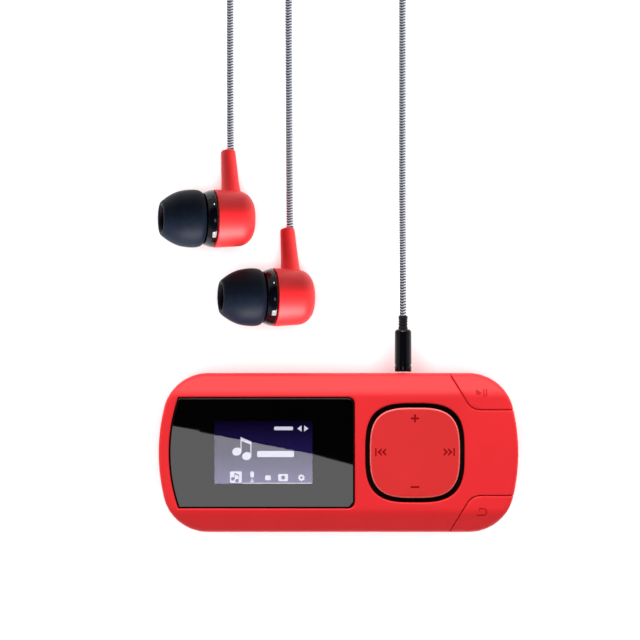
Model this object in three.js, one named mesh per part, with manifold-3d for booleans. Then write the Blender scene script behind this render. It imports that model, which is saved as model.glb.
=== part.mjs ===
// A clip-on digital audio player lying on its clip, with its in-ear headphones plugged in.
// Millimetres. +X runs along the player, +Y towards the headphone socket, +Z out of its front face.
// The origin is under the player's middle, on the surface that its clip lies on.
import * as THREE from "three";
import { mergeVertices } from "three/addons/utils/BufferGeometryUtils.js";
import Module from "manifold-3d";

const wasm = await Module();
wasm.setup();

// Casing
const BODY_LENGTH = 76;
const BODY_WIDTH = 33.6;
const END_RADIUS = 40; // the bowed left and right ends
const CORNER_RADIUS = 9.5;
const BACK_Z = 4.5;
const FRONT_Z = 15.5;
const MIDDLE_Z = (BACK_Z + FRONT_Z) / 2;
const SHOULDER_Y = 12.5; // where the flat face turns into the sloping shoulder
const SHOULDER_ANGLE = THREE.MathUtils.degToRad(25);
const EDGE_ROUND = 0.8;
const WALL = 1.3;
const REAR_WALL = 2.2; // thicker, because it carries the lip that centres the covers
const LIP_GAP = 0.3;
const LIP_TOP_Z = 11.2;
const SEAM_GAP = 0.3;
const REAR_RIM_Z = MIDDLE_Z - SEAM_GAP / 2;
const FRONT_RIM_Z = MIDDLE_Z + SEAM_GAP / 2;
const SKIN = 1.6; // thickness of the front face
const FLOOR = 1.3; // thickness of the back
const GAP = 0.3; // clearance between neighbouring pieces

// Window and display
const WINDOW = { left: -35.6, right: 3.2, halfHeight: 11.5, bow: 35, corner: 1.2 };
const WINDOW_THICKNESS = 1;
const WINDOW_TOP_Z = FRONT_Z - 0.2;
const LEDGE_Z = 13.3; // underside of the ledge that the window is glued to
const LEDGE_TOP_Z = 14.1;
const VIEW_CUTOUT = { left: -26.9, right: -4.8, bottom: -7.2, top: 7.4 };
const DISPLAY = { left: -28.7, right: -3, halfHeight: 9.5, bottomZ: 11.9, topZ: 13 };

// Four-way pad
const PAD_X = 16.15;
const PAD_HALF = 9.52;
const PAD_OPENING_HALF = 10.5;
const PAD_RETAINER_HALF = 11.3;
const PAD_POWER = 3.2; // exponent of the superellipse outline
const PAD_TOP_Z = FRONT_Z - 0.1;
const PAD_BOTTOM_Z = 13.6;
const RETAINER_BOTTOM_Z = 12.95;
const NUB_BOTTOM_Z = 12.85;

// Corner buttons: the seam is a diagonal, an arc and a line parallel to X
const BUTTON_ARC_X = 30;
const BUTTON_SEAM_Y = 9.05;
const BUTTON_ARC_RADIUS = 3.27;
const BUTTON_DIAGONAL = THREE.MathUtils.degToRad(58.8);
const BUTTON_BOTTOM_Z = 12;
const BUTTON_CUT_Z = 11.5;
const BUTTON_SWITCH = { x: 28.8, y: 11.4 };

// Circuit board and what it carries
const BOARD_BOTTOM_Z = 10.6;
const BOARD_TOP_Z = 11.4;
const BOARD_END_X = 31.3;
const SWITCH_TOP_Z = 12.5;
const SOCKET_X = 13.72;
const SOCKET_Z = MIDDLE_Z;
const SOCKET_WIDTH = 6;
const SOCKET_HEIGHT = 4.6;
const SOCKET_START_Y = 2.4;
const SOCKET_END_Y = 14.3;
const SOCKET_BORE_RADIUS = 1.85;
const USB = { left: -36.4, right: -30.4, halfWidth: 3.8, bottomZ: 7.7, topZ: 10.45, shell: 0.35 };
const USB_HOLE = { right: -34.5, halfWidth: 4.2, bottomZ: 7.4, topZ: 10.75 };
const MICROPHONE = { x: 1.2, y: -12, radius: 2, bottomZ: 9, holeRadius: 0.4, holeZ: 10.9 };
const RIBBON = { left: -21, right: -11, bottom: -9.2, top: -3, topZ: 11.7 };
const PROCESSOR = { left: 22.5, right: 29.5, halfWidth: 3.5, bottomZ: 9.6 };
const MEMORY = { left: 5, right: 17, bottom: -12, top: -1, bottomZ: 9.4 };
const BATTERY = { left: -28.5, right: -1.5, halfWidth: 10, bottomZ: 6.1, topZ: 9.6 };
const BOARD_GAP = 0.1; // between the board and what is soldered to it
const SCREW = { x: 33.4, y: 6, shank: 0.7, head: 1.4, bottomZ: 4.8, topZ: 12.4 };

// Clip
const CLIP = { left: -30, right: 24, halfWidth: 8.5, corner: 4, thickness: 1.6 };
const PIN = { x: 17, z: 3.05, radius: 0.5, hole: 0.6, halfLength: 8.1 };
const KNUCKLE_RADIUS = 1.2;

// Headphone lead
const CORD_RADIUS = 0.7;
const CORD_SIDES = 8;
const CORD_STEP = 3.5;
const FLOOR_Z = 0.05 + CORD_RADIUS; // height of a cord's middle when it lies on the surface
const MAIN_COIL = { turnRadius: 8.4, layers: 4 }; // turnRadius is the middle of the turns
const BRANCH_COIL = { turnRadius: 7.7, layers: 2 };
const COIL_HALF_WIDTH = 4 * CORD_RADIUS; // a layer is a spiral of three turns, in or out
const OUTER_TURN = 3 * CORD_RADIUS; // from the middle of the turns to the outer one
const COIL_BOTTOM_Z = 0.7;
const COIL_CENTRE_Y = 117;
const TIE = { width: 2.5, thickness: 0.4 };
const PLUG = { startY: 17.1, shoulderY: 26.1, endY: 28.6, radius: 1.78, neck: 0.98, pin: 1.75 };
const PLUG_HOLE_RADIUS = 1.95;
const SPLITTER = { left: -1, right: 8, y: 130.4, z: 2.05, radius: 2, port: 0.9 };

// In-ear headphones, measured along their own axis from the back of the housing
const BUD_TILT = THREE.MathUtils.degToRad(13); // the nose points up out of the surface
const BUD_ROLL = THREE.MathUtils.degToRad(18); // the stem leans down to the surface
const BUD_RADIUS = 6.2;
const BUD_BACK_RADIUS = 5.9; // the housing narrows a little towards its back
const BUD_CORNER = 3.5;
const BUD_LENGTH = 8.5;
const BUD_STEM = { at: 4.4, start: 5.9, end: 15.25, baseRadius: 1.95, tipRadius: 1.55 };
const BUD_PLACES = {
  left: new THREE.Vector3(-18.2, 49.6, 5.5),
  right: new THREE.Vector3(-5.53, 32.9, 5.5),
};

const CURVE_STEPS = 4; // half the number of segments of each arc in an outline
const LATHE_SIDES = 22;
const WELD = 1e-4;

const group = new THREE.Group();

// ---------------------------------------------------------------- solids

/** A three.js geometry as a solid: shared corners welded, faces turned outwards. */
function solid(geometry) {
  const loose = geometry.index ? geometry.toNonIndexed() : geometry;
  const bare = new THREE.BufferGeometry().setAttribute("position", loose.getAttribute("position"));
  const welded = mergeVertices(bare, WELD);
  const corners = welded.index.array;
  const kept = [];
  for (let i = 0; i < corners.length; i += 3) {
    const [a, b, c] = corners.slice(i, i + 3);
    if (a !== b && b !== c && c !== a) kept.push(a, b, c);
  }
  const build = (triangles) =>
    new wasm.Manifold(
      new wasm.Mesh({
        numProp: 3,
        vertProperties: welded.getAttribute("position").array,
        triVerts: new Uint32Array(triangles),
      }),
    );
  const made = build(kept);
  return made.volume() < 0 ? build(kept.reverse()) : made;
}

/** The pieces joined into one solid. */
function join(first, ...others) {
  return others.reduce((whole, other) => whole.add(other), first);
}

/** The first solid with the others cut away. */
function cut(first, ...others) {
  return others.reduce((whole, other) => whole.subtract(other), first);
}

/** Adds a solid to the model as a named mesh. */
function addPart(name, shape, material) {
  const mesh = shape.getMesh();
  const geometry = new THREE.BufferGeometry();
  geometry.setAttribute("position", new THREE.BufferAttribute(new Float32Array(mesh.vertProperties), 3));
  geometry.setIndex(new THREE.BufferAttribute(new Uint32Array(mesh.triVerts), 1));
  const part = new THREE.Mesh(geometry, material);
  part.name = name;
  group.add(part);
}

/** An outline as points, without the doubled points where two arcs meet. */
function tidyPoints(path) {
  const points = path.getPoints(CURVE_STEPS);
  return points.filter((point, i) => {
    const before = points[(i + points.length - 1) % points.length];
    return point.distanceTo(before) > 1e-3;
  });
}

/** A plate with the given outline in X and Y, between two heights, with optional rounded edges. */
function plate(path, bottom, top, round = 0) {
  const geometry = new THREE.ExtrudeGeometry(new THREE.Shape(tidyPoints(path)), {
    depth: top - bottom - 2 * round,
    bevelEnabled: round > 0,
    bevelSize: round,
    bevelThickness: round,
    bevelOffset: -round,
    bevelSegments: 2,
  });
  return solid(geometry.translate(0, 0, bottom + round));
}

/** A bar along X whose section is a polygon of [y, z] corners. */
function barAlongX(corners, left, right) {
  const section = new THREE.Shape(corners.map(([y, z]) => new THREE.Vector2(y, z)));
  const geometry = new THREE.ExtrudeGeometry(section, { depth: right - left, bevelEnabled: false });
  const toX = new THREE.Matrix4().makeBasis(
    new THREE.Vector3(0, 1, 0),
    new THREE.Vector3(0, 0, 1),
    new THREE.Vector3(1, 0, 0),
  );
  return solid(geometry.applyMatrix4(toX).translate(left, 0, 0));
}

/** A box between two corners. */
function block(x0, x1, y0, y1, z0, z1) {
  const geometry = new THREE.BoxGeometry(x1 - x0, y1 - y0, z1 - z0);
  return solid(geometry.translate((x0 + x1) / 2, (y0 + y1) / 2, (z0 + z1) / 2));
}

/** An upright round post. */
function post(x, y, radius, bottom, top, sides = 20) {
  const geometry = new THREE.CylinderGeometry(radius, radius, top - bottom, sides);
  return solid(geometry.rotateX(Math.PI / 2).translate(x, y, (bottom + top) / 2));
}

/** A round rod along Y. */
function rodAlongY(x, z, radius, start, end, sides = 20) {
  const geometry = new THREE.CylinderGeometry(radius, radius, end - start, sides);
  return solid(geometry.translate(x, (start + end) / 2, z));
}

/** A turned solid from [radius, distance along the axis] corners, placed by a matrix. */
function turned(profile, matrix, sides = LATHE_SIDES) {
  const points = profile.map(([radius, along]) => new THREE.Vector2(radius, along));
  if (profile[0][0] > 0) points.push(points[0].clone());
  return solid(new THREE.LatheGeometry(points, sides).applyMatrix4(matrix));
}

/** [radius, distance] corners of a quarter round from one angle to another. */
function roundCorner(radius, along, size, fromDegrees, toDegrees, steps = 5) {
  return Array.from({ length: steps + 1 }, (_, i) => {
    const angle = THREE.MathUtils.degToRad(fromDegrees + ((toDegrees - fromDegrees) * i) / steps);
    return [radius + size * Math.cos(angle), along + size * Math.sin(angle)];
  });
}

// ---------------------------------------------------------------- materials

function finish(color, roughness, metalness = 0) {
  return new THREE.MeshStandardMaterial({ color, roughness, metalness });
}

const materials = {
  redPlastic: () => finish(0xed3338, 0.6),
  blackPlastic: () => finish(0x17171a, 0.5),
  glossBlack: () => finish(0x0a0a0c, 0.15),
  window: () => finish(0x08080a, 0.05),
  display: () => finish(0x2a2068, 0.3),
  board: () => finish(0x14503a, 0.6),
  chip: () => finish(0x1c1c1e, 0.7),
  battery: () => finish(0xb8bcc2, 0.45, 0.5),
  steel: () => finish(0xb9bcc0, 0.35, 1),
  gold: () => finish(0xd8b25c, 0.3, 1),
  polyimide: () => finish(0xb5712a, 0.5),
  silicone: () => finish(0x262c36, 0.55),
  braid: () => finish(0x70747c, 0.85),
};

// ---------------------------------------------------------------- casing

/** The player's outline seen from the front, drawn inwards by an inset. */
function outline(inset) {
  const endX = BODY_LENGTH / 2 - END_RADIUS;
  const cornerY = BODY_WIDTH / 2 - CORNER_RADIUS;
  const cornerX = endX + Math.sqrt((END_RADIUS - CORNER_RADIUS) ** 2 - cornerY ** 2);
  const meet = Math.atan2(cornerY, cornerX - endX);
  const corner = CORNER_RADIUS - inset;
  const path = new THREE.Path();
  path.absarc(cornerX, -cornerY, corner, -Math.PI / 2, -meet);
  path.absarc(endX, 0, END_RADIUS - inset, -meet, meet);
  path.absarc(cornerX, cornerY, corner, meet, Math.PI / 2);
  path.absarc(-cornerX, cornerY, corner, Math.PI / 2, Math.PI - meet);
  path.absarc(-endX, 0, END_RADIUS - inset, Math.PI - meet, Math.PI + meet);
  path.absarc(-cornerX, -cornerY, corner, Math.PI + meet, Math.PI * 1.5);
  return path;
}

/** Section across the player: a flat face and back with sloping shoulders beside them. */
function section(faceInset, edge) {
  const half = (FRONT_Z - BACK_Z) / 2 - faceInset;
  const reach = BODY_WIDTH / 2;
  const slope = Math.tan(SHOULDER_ANGLE);
  const drop = (y) => half - (y - SHOULDER_Y) * slope;
  const quarter = [
    [SHOULDER_Y, half],
    [reach - edge, drop(reach - edge)],
    [reach, drop(reach - edge) - edge],
  ];
  const mirror = (y, z) => quarter.map(([a, b]) => [a * y, MIDDLE_Z + b * z]);
  return [...mirror(1, 1), ...mirror(1, -1).reverse(), ...mirror(-1, -1), ...mirror(-1, 1).reverse()];
}

const below = (z) => block(-BODY_LENGTH, BODY_LENGTH, -BODY_LENGTH, BODY_LENGTH, z - BODY_LENGTH, z);
const above = (z) => block(-BODY_LENGTH, BODY_LENGTH, -BODY_LENGTH, BODY_LENGTH, z, z + BODY_LENGTH);

const wholeBody = plate(outline(0), BACK_Z, FRONT_Z, EDGE_ROUND).intersect(
  barAlongX(section(0, EDGE_ROUND), -BODY_LENGTH, BODY_LENGTH),
);

/** The space inside one cover: within the wall and under the face or above the back. */
function cavity(wall, faceInset, bottom, top) {
  return plate(outline(wall), bottom, top).intersect(
    barAlongX(section(faceInset, 0.01), -BODY_LENGTH, BODY_LENGTH),
  );
}

/** The window's outline: a bowed left edge and rounded right corners. */
function windowOutline(grow) {
  const { left, right, halfHeight, bow, corner } = WINDOW;
  const height = halfHeight + grow;
  const radius = bow + grow;
  const half = Math.asin(height / radius);
  const path = new THREE.Path();
  path.absarc(left + bow, 0, radius, Math.PI - half, Math.PI + half);
  path.absarc(right - corner, corner - halfHeight, corner + grow, -Math.PI / 2, 0);
  path.absarc(right - corner, halfHeight - corner, corner + grow, 0, Math.PI / 2);
  return path;
}

/** The pad's superellipse outline. */
function padOutline(half) {
  const path = new THREE.Path();
  const count = 48;
  const points = Array.from({ length: count }, (_, i) => {
    const angle = (i / count) * 2 * Math.PI;
    const [c, s] = [Math.cos(angle), Math.sin(angle)];
    const reach = half / (Math.abs(c) ** PAD_POWER + Math.abs(s) ** PAD_POWER) ** (1 / PAD_POWER);
    return new THREE.Vector2(PAD_X + reach * c, reach * s);
  });
  path.setFromPoints(points);
  return path;
}

/** The region of a corner button, grown outwards; side is 1 for the upper one and -1 for the lower. */
function buttonRegion(grow, side) {
  const far = BODY_LENGTH;
  const centreY = BUTTON_SEAM_Y + BUTTON_ARC_RADIUS;
  const radius = BUTTON_ARC_RADIUS + grow;
  const normal = Math.PI * 1.5 - BUTTON_DIAGONAL;
  const start = new THREE.Vector2(
    BUTTON_ARC_X + radius * Math.cos(normal),
    centreY + radius * Math.sin(normal),
  );
  const run = 12;
  const path = new THREE.Path();
  path.moveTo(far, far);
  path.lineTo(start.x - run * Math.cos(BUTTON_DIAGONAL), far);
  path.lineTo(start.x - run * Math.cos(BUTTON_DIAGONAL), start.y + run * Math.sin(BUTTON_DIAGONAL));
  path.absarc(BUTTON_ARC_X, centreY, radius, normal, Math.PI * 1.5);
  path.lineTo(far, BUTTON_SEAM_Y - grow);
  const points = tidyPoints(path).map((point) => new THREE.Vector2(point.x, point.y * side));
  return new THREE.Path().setFromPoints(points);
}

const screwPlaces = [
  [-SCREW.x, -SCREW.y],
  [-SCREW.x, SCREW.y],
  [SCREW.x, -SCREW.y],
  [SCREW.x, SCREW.y],
];

const socketHole = rodAlongY(SOCKET_X, SOCKET_Z, PLUG_HOLE_RADIUS, SOCKET_END_Y + GAP, BODY_WIDTH);
const usbHole = block(
  -BODY_LENGTH,
  USB_HOLE.right,
  -USB_HOLE.halfWidth,
  USB_HOLE.halfWidth,
  USB_HOLE.bottomZ,
  USB_HOLE.topZ,
);
const microphoneHole = rodAlongY(
  MICROPHONE.x,
  MICROPHONE.holeZ,
  MICROPHONE.holeRadius,
  -BODY_WIDTH,
  MICROPHONE.y - MICROPHONE.radius,
  10,
);

/** Front half of the casing with its walls, before anything is cut from it. */
const frontShell = cut(
  wholeBody.intersect(above(FRONT_RIM_Z)),
  cavity(WALL, SKIN, 0, FRONT_Z),
);

function frontCover() {
  const ledge = plate(windowOutline(0.9), LEDGE_Z, FRONT_Z - SKIN + 0.2).intersect(wholeBody);
  const bosses = screwPlaces.map(([x, y]) => post(x, y, 1.7, FRONT_RIM_Z + 0.1, FRONT_Z - SKIN + 0.2));
  const { left, right, bottom, top } = VIEW_CUTOUT;
  return cut(
    join(frontShell, ledge, ...bosses),
    plate(windowOutline(0.25), LEDGE_TOP_Z, FRONT_Z + 1),
    block(left, right, bottom, top, LEDGE_Z - 1, FRONT_Z),
    plate(padOutline(PAD_OPENING_HALF), FRONT_RIM_Z, FRONT_Z + 1),
    plate(buttonRegion(GAP / 2, 1), BUTTON_CUT_Z, FRONT_Z + 1),
    plate(buttonRegion(GAP / 2, -1), BUTTON_CUT_Z, FRONT_Z + 1),
    ...screwPlaces.map(([x, y]) => post(x, y, SCREW.shank + 0.2, 0, SCREW.topZ + GAP)),
    socketHole,
    usbHole,
    microphoneHole,
  );
}

function rearCover() {
  const shell = cut(wholeBody.intersect(below(REAR_RIM_Z)), cavity(REAR_WALL, FLOOR, 0, FRONT_Z));
  const lip = cut(
    plate(outline(WALL + LIP_GAP), MIDDLE_Z - 1, LIP_TOP_Z),
    plate(outline(REAR_WALL), 0, FRONT_Z),
  );
  const bosses = screwPlaces.map(([x, y]) => post(x, y, 1.9, BACK_Z + 0.5, REAR_RIM_Z));
  const lugs = [-1, 1].flatMap((side) => {
    const [start, end] = [4.3 * side, 6.3 * side].sort((a, b) => a - b);
    return [
      rodAlongY(PIN.x, PIN.z, KNUCKLE_RADIUS, start, end),
      block(PIN.x - KNUCKLE_RADIUS, PIN.x + KNUCKLE_RADIUS, start, end, PIN.z, BACK_Z + 0.2),
    ];
  });
  return cut(
    join(shell, lip, ...bosses, ...lugs),
    rodAlongY(PIN.x, PIN.z, PIN.hole, -PIN.halfLength, PIN.halfLength, 12),
    ...screwPlaces.map(([x, y]) => post(x, y, SCREW.head + GAP, 0, 6)),
    ...screwPlaces.map(([x, y]) => post(x, y, SCREW.shank + 0.2, 0, FRONT_Z)),
    socketHole,
    usbHole,
    microphoneHole,
  );
}

addPart("front_cover", frontCover(), materials.redPlastic());
addPart("rear_cover", rearCover(), materials.redPlastic());
addPart(
  "screen_window",
  plate(windowOutline(0), WINDOW_TOP_Z - WINDOW_THICKNESS, WINDOW_TOP_Z),
  materials.window(),
);

// ---------------------------------------------------------------- buttons

// The volume-up switch stands beside the headphone socket, the others under their symbols.
const padSwitchPlaces = [
  ["volume_up_switch", PAD_X + 3.2, 7.3],
  ["volume_down_switch", PAD_X, -7.3],
  ["previous_switch", PAD_X - 7.2, 0],
  ["next_switch", PAD_X + 7.2, 0],
];
const cornerSwitchPlaces = [
  ["play_switch", BUTTON_SWITCH.x, BUTTON_SWITCH.y],
  ["back_switch", BUTTON_SWITCH.x, -BUTTON_SWITCH.y],
];

function padRetainer() {
  const ring = plate(padOutline(PAD_RETAINER_HALF), RETAINER_BOTTOM_Z, PAD_BOTTOM_Z - 0.2);
  const nubs = padSwitchPlaces.map(([, x, y]) => post(x, y, 0.9, NUB_BOTTOM_Z, RETAINER_BOTTOM_Z + 0.1, 12));
  return join(ring, ...nubs);
}

function pushSwitch(x, y) {
  const base = block(x - 1.6, x + 1.6, y - 1.5, y + 1.5, BOARD_TOP_Z + BOARD_GAP, 12.1);
  return join(base, post(x, y, 0.8, 12, SWITCH_TOP_Z, 12));
}

function cornerButton(side) {
  const shell = frontShell.intersect(plate(buttonRegion(-GAP / 2, side), BUTTON_BOTTOM_Z, FRONT_Z + 1));
  const { x, y } = BUTTON_SWITCH;
  return join(shell, post(x, y * side, 1, SWITCH_TOP_Z + 0.45, FRONT_Z - SKIN + 0.2, 12));
}

function padPivot() {
  const profile = [
    [0, BOARD_TOP_Z + 0.1], [1.6, BOARD_TOP_Z + 0.1],
    ...roundCorner(0.7, 12.2, 0.5, 0, 90, 3), [0, 12.7],
  ];
  const upright = new THREE.Matrix4().makeRotationX(Math.PI / 2).setPosition(PAD_X, 0, 0);
  return turned(profile, upright, 16);
}

addPart("nav_pad", plate(padOutline(PAD_HALF), PAD_BOTTOM_Z, PAD_TOP_Z, 0.25), materials.redPlastic());
addPart("pad_retainer", padRetainer(), materials.blackPlastic());
addPart("pad_pivot", padPivot(), materials.blackPlastic());
addPart("play_button", cornerButton(1), materials.redPlastic());
addPart("back_button", cornerButton(-1), materials.redPlastic());
for (const [name, x, y] of [...padSwitchPlaces, ...cornerSwitchPlaces]) {
  addPart(name, pushSwitch(x, y), materials.steel());
}

// ---------------------------------------------------------------- electronics

function circuitBoard() {
  const ends = block(-BOARD_END_X, BOARD_END_X, -BODY_WIDTH, BODY_WIDTH, BOARD_BOTTOM_Z, BOARD_TOP_Z);
  const notch = SOCKET_WIDTH / 2 + 0.4;
  return cut(
    plate(outline(2.5), BOARD_BOTTOM_Z, BOARD_TOP_Z).intersect(ends),
    block(SOCKET_X - notch, SOCKET_X + notch, SOCKET_START_Y - 0.4, BODY_WIDTH, 0, FRONT_Z),
  );
}

function displayHolder() {
  const { left, right, halfHeight, topZ } = DISPLAY;
  const side = 1.2;
  return cut(
    block(left - side, right + side, -halfHeight - side, halfHeight + side, BOARD_TOP_Z + 0.1, topZ),
    block(left - GAP, right + GAP, -halfHeight - GAP, halfHeight + GAP, BOARD_TOP_Z, topZ + 1),
  );
}

function headphoneSocket() {
  const half = SOCKET_WIDTH / 2;
  const bottom = SOCKET_Z - SOCKET_HEIGHT / 2;
  return cut(
    block(SOCKET_X - half, SOCKET_X + half, SOCKET_START_Y, SOCKET_END_Y, bottom, bottom + SOCKET_HEIGHT),
    rodAlongY(SOCKET_X, SOCKET_Z, SOCKET_BORE_RADIUS, SOCKET_START_Y + 0.4, BODY_WIDTH),
  );
}

function usbSocket() {
  const { left, right, halfWidth, bottomZ, topZ, shell } = USB;
  const outside = block(left, right, -halfWidth, halfWidth, bottomZ, topZ);
  const half = halfWidth - shell;
  const mouth = block(-BODY_LENGTH, right - 0.6, -half, half, bottomZ + shell, topZ - shell);
  const tongue = block(left + 0.4, right - 0.4, -2.4, 2.4, 8.8, 9.4);
  return join(cut(outside, mouth), tongue);
}

addPart("circuit_board", circuitBoard(), materials.board());
addPart("display_holder", displayHolder(), materials.blackPlastic());
addPart(
  "display_panel",
  block(DISPLAY.left, DISPLAY.right, -DISPLAY.halfHeight, DISPLAY.halfHeight, DISPLAY.bottomZ, DISPLAY.topZ),
  materials.display(),
);

/** A flat component between two heights; halfWidth stands for both its edges where it is centred. */
function flatBox({ left, right, halfWidth, bottom = -halfWidth, top = halfWidth }, lowZ, highZ) {
  return block(left, right, bottom, top, lowZ, highZ);
}

const underBoardZ = BOARD_BOTTOM_Z - BOARD_GAP;
addPart("display_ribbon", flatBox(RIBBON, BOARD_TOP_Z + BOARD_GAP, RIBBON.topZ), materials.polyimide());
addPart("processor_chip", flatBox(PROCESSOR, PROCESSOR.bottomZ, underBoardZ), materials.chip());
addPart("memory_chip", flatBox(MEMORY, MEMORY.bottomZ, underBoardZ), materials.chip());
addPart("battery", flatBox(BATTERY, BATTERY.bottomZ, BATTERY.topZ), materials.battery());
addPart("headphone_socket", headphoneSocket(), materials.blackPlastic());
addPart("usb_socket", usbSocket(), materials.steel());
addPart(
  "microphone",
  post(MICROPHONE.x, MICROPHONE.y, MICROPHONE.radius, MICROPHONE.bottomZ, underBoardZ, 16),
  materials.steel(),
);

screwPlaces.forEach(([x, y], i) => {
  const head = post(x, y, SCREW.head, SCREW.bottomZ, SCREW.bottomZ + 0.8, 16);
  const shank = post(x, y, SCREW.shank, SCREW.bottomZ + 0.5, SCREW.topZ, 12);
  const recess = post(x, y, 0.5, 0, SCREW.bottomZ + 0.4, 6);
  addPart(`case_screw_${i + 1}`, cut(join(head, shank), recess), materials.steel());
});

// ---------------------------------------------------------------- clip

function clipOutline() {
  const { left, right, halfWidth, corner } = CLIP;
  const path = new THREE.Path();
  path.absarc(right - corner, corner - halfWidth, corner, -Math.PI / 2, 0);
  path.absarc(right - corner, halfWidth - corner, corner, 0, Math.PI / 2);
  path.absarc(left + corner, halfWidth - corner, corner, Math.PI / 2, Math.PI);
  path.absarc(left + corner, corner - halfWidth, corner, Math.PI, Math.PI * 1.5);
  return path;
}

function clip() {
  const leaf = plate(clipOutline(), 0, CLIP.thickness, 0.3);
  const jaw = block(CLIP.left + 1, CLIP.left + 3.5, -6, 6, CLIP.thickness - 0.2, BACK_Z - GAP);
  const ears = [-1, 1].flatMap((side) => {
    const [start, end] = [6.6 * side, 8.2 * side].sort((a, b) => a - b);
    return [
      rodAlongY(PIN.x, PIN.z, KNUCKLE_RADIUS, start, end),
      block(PIN.x - KNUCKLE_RADIUS, PIN.x + KNUCKLE_RADIUS, start, end, CLIP.thickness - 0.2, PIN.z),
    ];
  });
  const hole = rodAlongY(PIN.x, PIN.z, PIN.hole, -BODY_WIDTH, BODY_WIDTH, 12);
  return cut(join(leaf, jaw, ...ears), hole);
}

/** Torsion spring round the pin, with a leg above and a leg below towards the thumb end. */
function clipSpring() {
  const turns = 5;
  const turnSteps = 8;
  const coil = { radius: 0.95, start: -3.4, end: 3.4 };
  const legEnd = 21.5;
  const points = [new THREE.Vector3(legEnd, coil.start, PIN.z + coil.radius)];
  const steps = (turns + 0.5) * turnSteps;
  for (let i = 0; i <= steps; i++) {
    const angle = Math.PI / 2 + (i / turnSteps) * 2 * Math.PI;
    points.push(
      new THREE.Vector3(
        PIN.x + coil.radius * Math.cos(angle),
        THREE.MathUtils.lerp(coil.start, coil.end, i / steps),
        PIN.z + coil.radius * Math.sin(angle),
      ),
    );
  }
  points.push(new THREE.Vector3(legEnd, coil.end, PIN.z - coil.radius));
  return tube(points, 0.22, 5, Math.round(points.length * 1.4));
}

/** A round wire or cord along a smooth curve through the points. */
function tube(points, radius, sides, steps) {
  const ring = new THREE.Path().setFromPoints(
    Array.from({ length: sides }, (_, i) => {
      const angle = (i / sides) * 2 * Math.PI;
      return new THREE.Vector2(radius * Math.cos(angle), radius * Math.sin(angle));
    }),
  );
  const extrudePath = new THREE.CatmullRomCurve3(points, false, "centripetal");
  return solid(new THREE.ExtrudeGeometry(new THREE.Shape(ring.getPoints()), { steps, extrudePath }));
}

addPart("clip", clip(), materials.redPlastic());
addPart(
  "clip_pin",
  rodAlongY(PIN.x, PIN.z, PIN.radius, -PIN.halfLength, PIN.halfLength, 12),
  materials.steel(),
);
addPart("clip_spring", clipSpring(), materials.steel());

// ---------------------------------------------------------------- headphones

/** Places a turned piece along +Y from the plug's axis. */
const plugAxis = new THREE.Matrix4().setPosition(SOCKET_X, 0, SOCKET_Z);

function plugContact() {
  const profile = [
    [0, 3.1], [0.5, 3.2], [1.6, 4.6], [1.25, 5.8], [PLUG.pin, 6.4],
    [PLUG.pin, 16.85], [0, 16.85],
  ];
  return turned(profile, plugAxis, 20);
}

function plugBarrel() {
  const { startY, shoulderY, radius } = PLUG;
  const round = 0.7;
  const shoulder = roundCorner(radius - round, shoulderY - round, round, 0, 90);
  return turned([[0, startY], [radius, startY], ...shoulder, [0, shoulderY]], plugAxis, 20);
}

function plugNeck() {
  const { shoulderY, endY, neck } = PLUG;
  const start = shoulderY + 0.1;
  const profile = [[0, start], [neck + 0.05, start], [neck, endY], [0, endY]];
  return turned(profile, plugAxis, 16);
}

addPart("plug_contact", plugContact(), materials.gold());
addPart("plug_barrel", plugBarrel(), materials.glossBlack());
addPart("plug_neck", plugNeck(), materials.blackPlastic());

/** A stretch of cord that isn't coiled, through hand-placed points. */
function cordRun(points) {
  const vectors = points.map(([x, y, z]) => new THREE.Vector3(x, y, z));
  const length = new THREE.CatmullRomCurve3(vectors, false, "centripetal").getLength();
  return tube(vectors, CORD_RADIUS, CORD_SIDES, Math.ceil(length / CORD_STEP));
}

/** The outer shape of a round coil. */
function cordCoil(centreX, { turnRadius, layers }) {
  const [inner, outer] = [turnRadius - COIL_HALF_WIDTH, turnRadius + COIL_HALF_WIDTH];
  const [bottom, top] = [COIL_BOTTOM_Z, COIL_BOTTOM_Z + 2 * layers * CORD_RADIUS];
  const soft = 0.6;
  const profile = [
    [inner + soft, bottom], [outer - soft, bottom], [outer, bottom + soft],
    [outer, top - soft], [outer - soft, top], [inner + soft, top],
    [inner, top - soft], [inner, bottom + soft],
  ];
  const upright = new THREE.Matrix4().makeRotationX(Math.PI / 2).setPosition(centreX, COIL_CENTRE_Y, 0);
  return turned(profile, upright, 24);
}

/** A band round a coil's bundle, on the side away from the cord's way in. */
function cordTie(centreX, { turnRadius, layers }, side) {
  const half = COIL_HALF_WIDTH + GAP;
  const reach = half + TIE.thickness;
  const x = centreX + side * turnRadius;
  const top = COIL_BOTTOM_Z + 2 * layers * CORD_RADIUS + GAP;
  const [y0, y1] = [COIL_CENTRE_Y - TIE.width / 2, COIL_CENTRE_Y + TIE.width / 2];
  return cut(
    block(x - reach, x + reach, y0, y1, 0, top + TIE.thickness),
    block(x - half, x + half, y0 - 1, y1 + 1, TIE.thickness, top),
  );
}

function splitter() {
  const { left, right, y, z, radius } = SPLITTER;
  const round = 0.8;
  const profile = [
    [0, left],
    ...roundCorner(radius - round, left + round, round, -90, 0, 3),
    ...roundCorner(radius - round, right - round, round, 0, 90, 3),
    [0, right],
  ];
  const alongX = new THREE.Matrix4().makeRotationZ(-Math.PI / 2).setPosition(0, y, z);
  return turned(profile, alongX, 20);
}

// Where each cord passes its coil: the outer turn touches this line.
const mainCoilX = 13.75 + MAIN_COIL.turnRadius + OUTER_TURN;
const leftCoilX = -23.1 - BRANCH_COIL.turnRadius - OUTER_TURN;
const rightCoilX = -10.6 + BRANCH_COIL.turnRadius + OUTER_TURN;

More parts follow.
